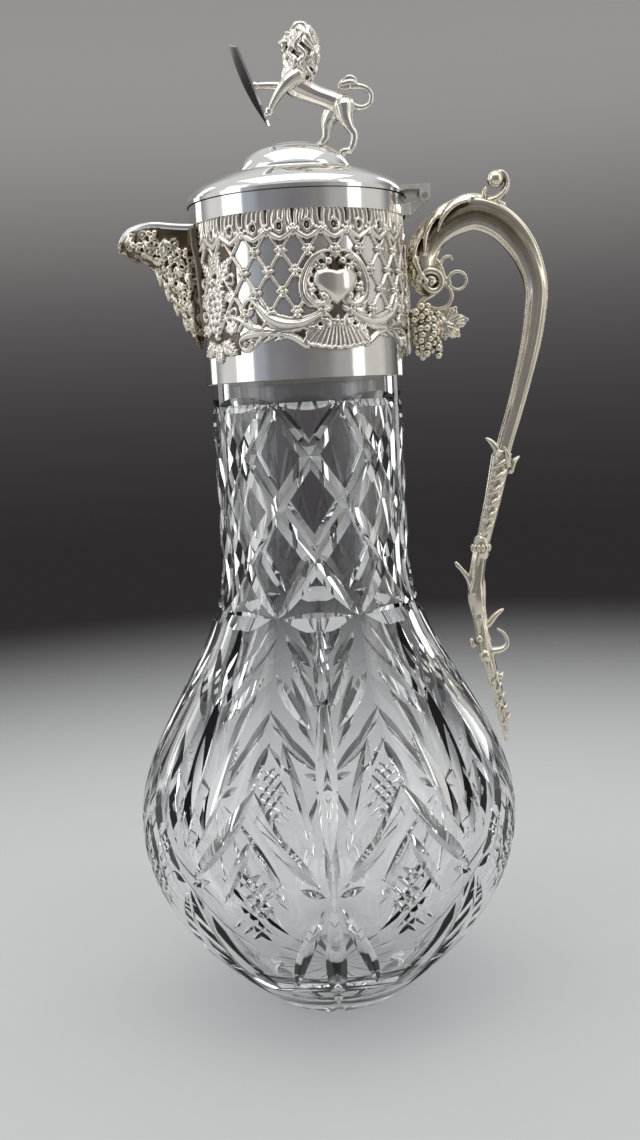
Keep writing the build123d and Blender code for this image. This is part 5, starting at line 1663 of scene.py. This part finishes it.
# %% One curl, leaf or cluster on the spout
def lay(turn, z, flat_places):
    """Places of (sideways, up, out, radius) in millimetres about a spot, laid on the spout's wall."""
    spot = on_spout(turn, z)
    side = unit(on_spout(turn + 1, z) - on_spout(turn - 1, z))
    rise = unit(on_spout(turn, z + 0.5) - on_spout(turn, z - 0.5))
    out = unit(np.cross(side, rise))
    if out @ (on_spout(turn, z, 1.0) - spot) < 0:
        out = -out
    return [(*(spot + a * side + b * rise + c * out), radius) for a, b, c, radius in flat_places], out


def spout_curl(turn, z, start, hand, size):
    """A tight curl of stem round a bud."""
    bud, _ = lay(turn, z, [(0.0, 0.0, 0.35, 0.55 * size)])
    arc = []
    for step in range(9):
        angle = start + hand * step * 0.72
        away = size * (1.35 - 0.035 * step)
        arc.append((away * cos(angle), away * sin(angle), 0.3, 0.42 * size * (1 - 0.05 * step)))
    places, out = lay(turn, z, arc)
    return [bead(bud[0]), bar(places, across=tuple(out), around=8, steps=2)]


def spout_leaf(turn, z, heading, size):
    """Three lobes that fan out from one root and lift at their tips."""
    shells = []
    for lean in (-0.62, 0.0, 0.62):
        angle = heading + lean
        length = size * (2.7 if lean == 0 else 2.1)
        flat = [(t * length * cos(angle), t * length * sin(angle), 0.15 + 0.5 * t, r * size)
                for t, r in ((0, 0.4), (0.4, 0.62), (0.75, 0.55), (1.0, 0.22))]
        places, out = lay(turn, z, flat)
        shells.append(bar(places, across=tuple(out), ratio=0.8, around=8, steps=3))
    return shells


def spout_grapes(turn, z, size):
    """Three grapes in a cluster."""
    trio = [(size * a, size * b, 0.5 * size, 1.05 * size)
            for a, b in ((-1.05, 0.55), (1.05, 0.65), (0.0, -1.05))]
    return [bead(place) for place in lay(turn, z, trio)[0]]


print("a leaf of the spout has", len(spout_leaf(0, COLLAR_TOP - 10, 0, 1)), "lobes")

# %% Cover the spout and cast it
SPOUT_ROWS = 12
FIRST_ROW = 3.7          # from the lip down to the first row of leaves
ROW_FALL = 2.7           # from one row to the next
MOTIF_PITCH = 3.25       # from one motif to the next along a row
KEEL_STEPS = (0.40, 0.53, 0.66, 0.79)


def spout_foliage():
    """Curls, leaves and grapes in rows over the whole wall, but for the corners under the lip."""
    chance = np.random.default_rng(5)
    shells = []
    for row in range(SPOUT_ROWS):
        turn, count = -84.0 + 5 * (row % 2), 0
        while turn < 85:
            z = spout_top(turn) - FIRST_ROW - ROW_FALL * row + chance.uniform(-0.4, 0.4)
            step = MOTIF_PITCH / max(np.linalg.norm(on_spout(turn + 1, z) - on_spout(turn, z)), 0.05)
            bare = row < 1 and abs(turn) > 60 or row < 2 and abs(turn) > 76
            snug = 0.7 if row < 3 and abs(turn) < 32 else 1.0
            if z > COLLAR_TOP - SPOUT_DEPTH + 2.5 and abs(turn) < 83 and not bare:
                kind = (row * 2 + count * 3) % 5
                if kind < 2:
                    hand = 1 if turn > 0 else -1
                    shells += spout_curl(turn, z, chance.uniform(0, 6), hand, snug * chance.uniform(1.0, 1.3))
                elif kind == 2:
                    shells += spout_grapes(turn, z, snug)
                else:
                    shells += spout_leaf(turn, z + 0.9, chance.uniform(-2.6, -0.5),
                                         snug * chance.uniform(1.2, 1.5))
            turn += min(step, 30)
            count += 1
    return shells


print("foliage in", SPOUT_ROWS, "rows,", ROW_FALL, "mm apart")

# %% Melt the spout and give it its tarnish and painted shade
def spout_shells():
    """The wall, its foliage, curled leaf tips down the keel, and a plain bar over each joint."""
    shells = [spout_wall()] + spout_foliage()
    for share in KEEL_STEPS:
        z = COLLAR_TOP - SPOUT_DEPTH * share
        for side in (-1, 0, 1):
            start, middle, tip = (on_spout(turn * side, z + up, out)
                                  for turn, up, out in ((9, 3.0, 0.0), (8, 0.4, 1.0), (5, -1.5, 2.1)))
            shells.append(bar([(*start, 1.0), (*middle, 1.25), (*tip, 0.45)], ratio=1.2, around=10))
    heights = np.linspace(COLLAR_TOP - 1.5, COLLAR_TOP - 33, 12)
    for side in (-1, 1):
        joint = [(*on_spout(side * 85, z, 0.1), 1.45) for z in heights]
        shells.append(bar(joint, around=12, steps=3))
    return shells


def spout_tarnish_and_shade(places):
    """Brown tarnish on the ground between the leaves and painted shade under the nose; the trough inside
    stays clean.
    """
    x, y, z = places.T
    length, width = section_at(z)
    proud = (np.hypot((-x - SPOUT_BACK) / length, y / width) - 1) * np.minimum(length, width)
    ground = np.clip((0.75 - proud) / 0.5, 0, 1) * (proud > -0.8) * 0.85
    joint = np.clip((x + COLLAR_RADIUS + 2.4) / 0.8, 0, 1) * 0.75
    # Painted shade: the underside of the nose is darkened.
    under = np.clip((-x - 46) / 4, 0, 1) * np.clip((COLLAR_TOP - z - 5.5) / 2, 0, 1) * 0.6
    return highest([ground, joint, under])


settle(cast("spout_casting", spout_shells(), 0.25, 1, spout_tarnish_and_shade), "jug", "silver_cast", CAST_SILVER,
       "spout_body")
rim_places = [(*on_spout(turn, spout_top(turn) - 1.0, -0.5), 0.85) for turn in np.linspace(-90, 90, 25)]
lip_points, lip_faces = bar(rim_places, across=(0, 0, 1), ratio=1.3, around=18, steps=3)
lip = new_piece("polished_spout_lip", lip_points, lip_faces)
settle(lip, "jug", "silver_plate", BRIGHT_SILVER, "spout_lip")

# %% [markdown]
# ## Filed edges
# A machined edge in a drawing is sharp, but a silversmith breaks each edge with a file, and polishing
# rounds it further. That narrow rounded edge is the line of light one sees on a real plate.

# %% Round the edges of the plates
def softened(node, name, body, finish, width):
    """A copy of a plain piece with its edges rounded."""
    source = frame["nodes"][node]
    mesh = source.data.copy()
    mesh.transform(source.matrix_world)
    mesh.name = name
    tidy = bmesh.new()
    tidy.from_mesh(mesh)
    bmesh.ops.remove_doubles(tidy, verts=tidy.verts, dist=0.002 * MM)
    bmesh.ops.dissolve_limit(tidy, angle_limit=radians(0.5), verts=tidy.verts, edges=tidy.edges)
    tidy.to_mesh(mesh)
    tidy.free()
    piece = put_in_scene(name, mesh)
    change = piece.modifiers.new("filed edge", "BEVEL")
    change.width = width * MM
    change.segments = 2
    change.limit_method = "ANGLE"
    change.angle_limit = radians(35)
    change.harden_normals = True
    keep_changes(piece)
    settle(piece, body, "silver_plate", finish, node)


softened("collar_hinge_leaf", "filed_collar_leaf", "jug", BRUSHED_SILVER, 0.3)
softened("lid_hinge_leaf", "filed_lid_leaf", "lid", BRUSHED_SILVER, 0.3)

# %% Finish the frame's own pieces
FINISHES = {"silver_plate": BRIGHT_SILVER, "silver_cast": CAST_SILVER, "brass": BRASS,
            "plaster": PLASTER, "crystal_glass": CRYSTAL}
for part in frame["record"]["subparts"]:
    node = frame["nodes"][part["node"]]
    node.data.materials.clear()
    node.data.materials.append(FINISHES[part["material_slot"]])
frame["nodes"]["collar_tube"].data.materials[0] = COLLAR_SILVER
print("finished the plain pieces")

# %% [markdown]
# ## Floor, light and camera
# Clear glass and bright metal have almost no colour of their own: they show what stands around them.
# So the studio is part of the look. The floor is plain and pale where the jug stands and gives way to
# a dark backdrop, and broad, dim softboxes give the silver wide soft reflections instead of points.

# %% Floor
FLOOR_RADIUS = 1500.0
FLOOR_DROP = 0.2         # it lies just under the jug's foot
FLOOR_PALE = 150.0       # the floor is quite pale this far from the jug's axis
FLOOR_GONE = 900.0       # and here only the backdrop is left


def studio_floor():
    material, tree = new_material("matt_studio_floor")
    place = add_node(tree, "ShaderNodeTexCoord")
    far = add_node(tree, "ShaderNodeVectorMath", {0: place.outputs["Object"]}, operation="LENGTH")
    fade = add_node(tree, "ShaderNodeMapRange",
                    {"Value": far.outputs["Value"], "From Min": FLOOR_PALE * MM, "From Max": FLOOR_GONE * MM},
                    interpolation_type="SMOOTHSTEP")
    matt = add_node(tree, "ShaderNodeBsdfPrincipled", {"Base Color": linear("#C9C9C7"), "Roughness": 0.55})
    clear = add_node(tree, "ShaderNodeBsdfTransparent")
    surface = add_node(tree, "ShaderNodeMixShader", {0: fade, 1: matt, 2: clear})
    add_node(tree, "ShaderNodeOutputMaterial", {"Surface": surface})
    return material


points, faces = spun([(radius, -FLOOR_DROP) for radius in (0, 60, FLOOR_RADIUS)], 96)
floor = new_piece("studio_floor", points, [face[::-1] for face in faces])
floor.data.materials.append(studio_floor())
print("the floor is", FLOOR_RADIUS * 2, "mm across")

# %% The tones of the room
# What a mirror on the jug's front meets, by the way it looks: 0 is over the camera, 0.5 is straight
# to one side and 1 is straight behind the jug. The two sides of the room differ a little.
ROOM_LEFT = [(0.0, "#77757A"), (0.2, "#84858B"), (0.27, "#A3A8B2"), (0.36, "#B4B8C0"), (0.42, "#D6D7D8"),
             (0.56, "#DDDDDD"), (0.66, "#8E8F92"), (0.74, "#3C3D40")]
ROOM_RIGHT = [(0.0, "#77757A"), (0.13, "#83827F"), (0.22, "#A9A8A8"), (0.34, "#AFAFB0"), (0.4, "#CFCDCA"),
              (0.53, "#D2D0CC"), (0.62, "#85868A"), (0.74, "#3C3D40")]
# The backdrop by the height of the look, from a little under level (0) to well up (1).
BACKDROP = [(0.0, "#2B2829"), (0.14, "#3D3A3B"), (0.257, "#5A5758"), (0.357, "#838180"), (0.45, "#999896"),
            (0.6, "#92918F"), (1.0, "#8A8987")]


print("the room's tones:", len(ROOM_LEFT) + len(ROOM_RIGHT), "and the backdrop's:", len(BACKDROP))

# %% The room as a world
def room_tones(tree, value, stops, steps="EASE"):
    """The tones of the room that a look meets, blended softly from one to the next."""
    added = add_node(tree, "ShaderNodeValToRGB", {"Fac": value})
    added.color_ramp.interpolation = steps
    for position, colour in stops[1:-1]:
        added.color_ramp.elements.new(position)
    for element, (position, colour) in zip(added.color_ramp.elements, stops):
        element.position = position
        element.color = linear(colour)
    return added


def studio_world():
    """A dark backdrop that grows lighter upwards, a mid-grey room before it and a pale ceiling."""
    world = bpy.data.worlds.new("studio")
    world.use_nodes = True
    tree = world.node_tree
    tree.nodes.clear()
    place = add_node(tree, "ShaderNodeTexCoord")
    split = add_node(tree, "ShaderNodeSeparateXYZ", {0: place.outputs["Generated"]})
    rise = add_node(tree, "ShaderNodeMapRange",
                    {"Value": split.outputs["Z"], "From Min": -0.1, "From Max": 0.6})
    back = room_tones(tree, rise, BACKDROP, "B_SPLINE")
    front = add_node(tree, "ShaderNodeMath", {0: split.outputs["Y"], 1: -1.0}, operation="MULTIPLY")
    away = add_node(tree, "ShaderNodeMath", {0: split.outputs["X"], 1: front}, operation="ARCTAN2")
    away = add_node(tree, "ShaderNodeMath", {0: away, 1: pi}, operation="DIVIDE")
    size = add_node(tree, "ShaderNodeMath", {0: away}, operation="ABSOLUTE")
    left, right = room_tones(tree, size, ROOM_LEFT), room_tones(tree, size, ROOM_RIGHT)
    side = add_node(tree, "ShaderNodeMapRange", {"Value": away, "From Min": -0.05, "From Max": 0.05})
    room = add_node(tree, "ShaderNodeMix", {0: side, 6: left, 7: right}, data_type="RGBA")
    behind = add_node(tree, "ShaderNodeMapRange", {"Value": size, "From Min": 0.66, "From Max": 0.76},
                      interpolation_type="SMOOTHSTEP")
    seen = add_node(tree, "ShaderNodeMix", {0: behind, 6: room.outputs[2], 7: back}, data_type="RGBA")
    ceiling = add_node(tree, "ShaderNodeMapRange",
                       {"Value": split.outputs["Z"], "From Min": 0.36, "From Max": 0.7},
                       interpolation_type="SMOOTHSTEP")
    seen = add_node(tree, "ShaderNodeMix", {0: ceiling, 6: seen.outputs[2], 7: linear("#D8D9DB")},
                    data_type="RGBA")
    path = add_node(tree, "ShaderNodeLightPath").outputs
    eye = path["Is Camera Ray"]
    for other in ("Is Glossy Ray", "Is Transmission Ray"):
        eye = add_node(tree, "ShaderNodeMath", {0: eye, 1: path[other]}, operation="MAXIMUM")
    light = add_node(tree, "ShaderNodeBackground", {"Color": linear("#F4F6FA"), "Strength": 0.78})
    shown = add_node(tree, "ShaderNodeBackground", {"Color": seen.outputs[2], "Strength": 1.0})
    mixed = add_node(tree, "ShaderNodeMixShader", {0: eye, 1: light, 2: shown})
    add_node(tree, "ShaderNodeOutputWorld", {"Surface": mixed})
    bpy.context.scene.world = world


studio_world()
print("the world has", len(bpy.context.scene.world.node_tree.nodes), "nodes")

# %% Softboxes
def softbox(name, place, wide, high, brightness):
    """A rectangular lamp, in millimetres, that faces the jug. Brightness 1 looks white in a mirror."""
    lamp = bpy.data.lights.new(name, "AREA")
    lamp.shape = "RECTANGLE"
    lamp.size, lamp.size_y = wide * MM, high * MM
    lamp.energy = brightness * pi * lamp.size * lamp.size_y
    stand = put_in_scene(name, lamp)
    stand.location = Vector(place) * MM
    stand.rotation_euler = (Vector(MIDDLE) - Vector(place)).to_track_quat("-Z", "Y").to_euler()
    stand.visible_camera = False


MIDDLE = (0, 0, 170)
softbox("left_box", (-800, -300, 470), 380, 900, 1.0)
softbox("right_box", (740, -400, 470), 240, 900, 0.98)
softbox("top_box", (0, -150, 950), 900, 700, 1.0)
softbox("back_left_box", (-560, 370, 400), 150, 700, 1.6)
softbox("back_right_box", (480, 470, 400), 150, 700, 1.6)
print("five softboxes stand round the jug")

# %% Camera
CAMERA_PLACE = (1.3, -430.0, 196.5)
CAMERA_DOWN = 7.08
CAMERA_ROLL = 3.05
CAMERA_LENS = 41.41

camera = put_in_scene("camera", bpy.data.cameras.new("camera"))
camera.data.lens = CAMERA_LENS
turn = Matrix.Rotation(radians(90 - CAMERA_DOWN), 4, "X") @ Matrix.Rotation(radians(-CAMERA_ROLL), 4, "Z")
camera.matrix_world = Matrix.Translation(Vector(CAMERA_PLACE) * MM) @ turn
camera.data.clip_start = 0.01
bpy.context.scene.camera = camera
bpy.context.scene.view_settings.view_transform = "Standard"
print("the camera is", -CAMERA_PLACE[1], "mm from the jug's axis, with a lens of", CAMERA_LENS, "mm")
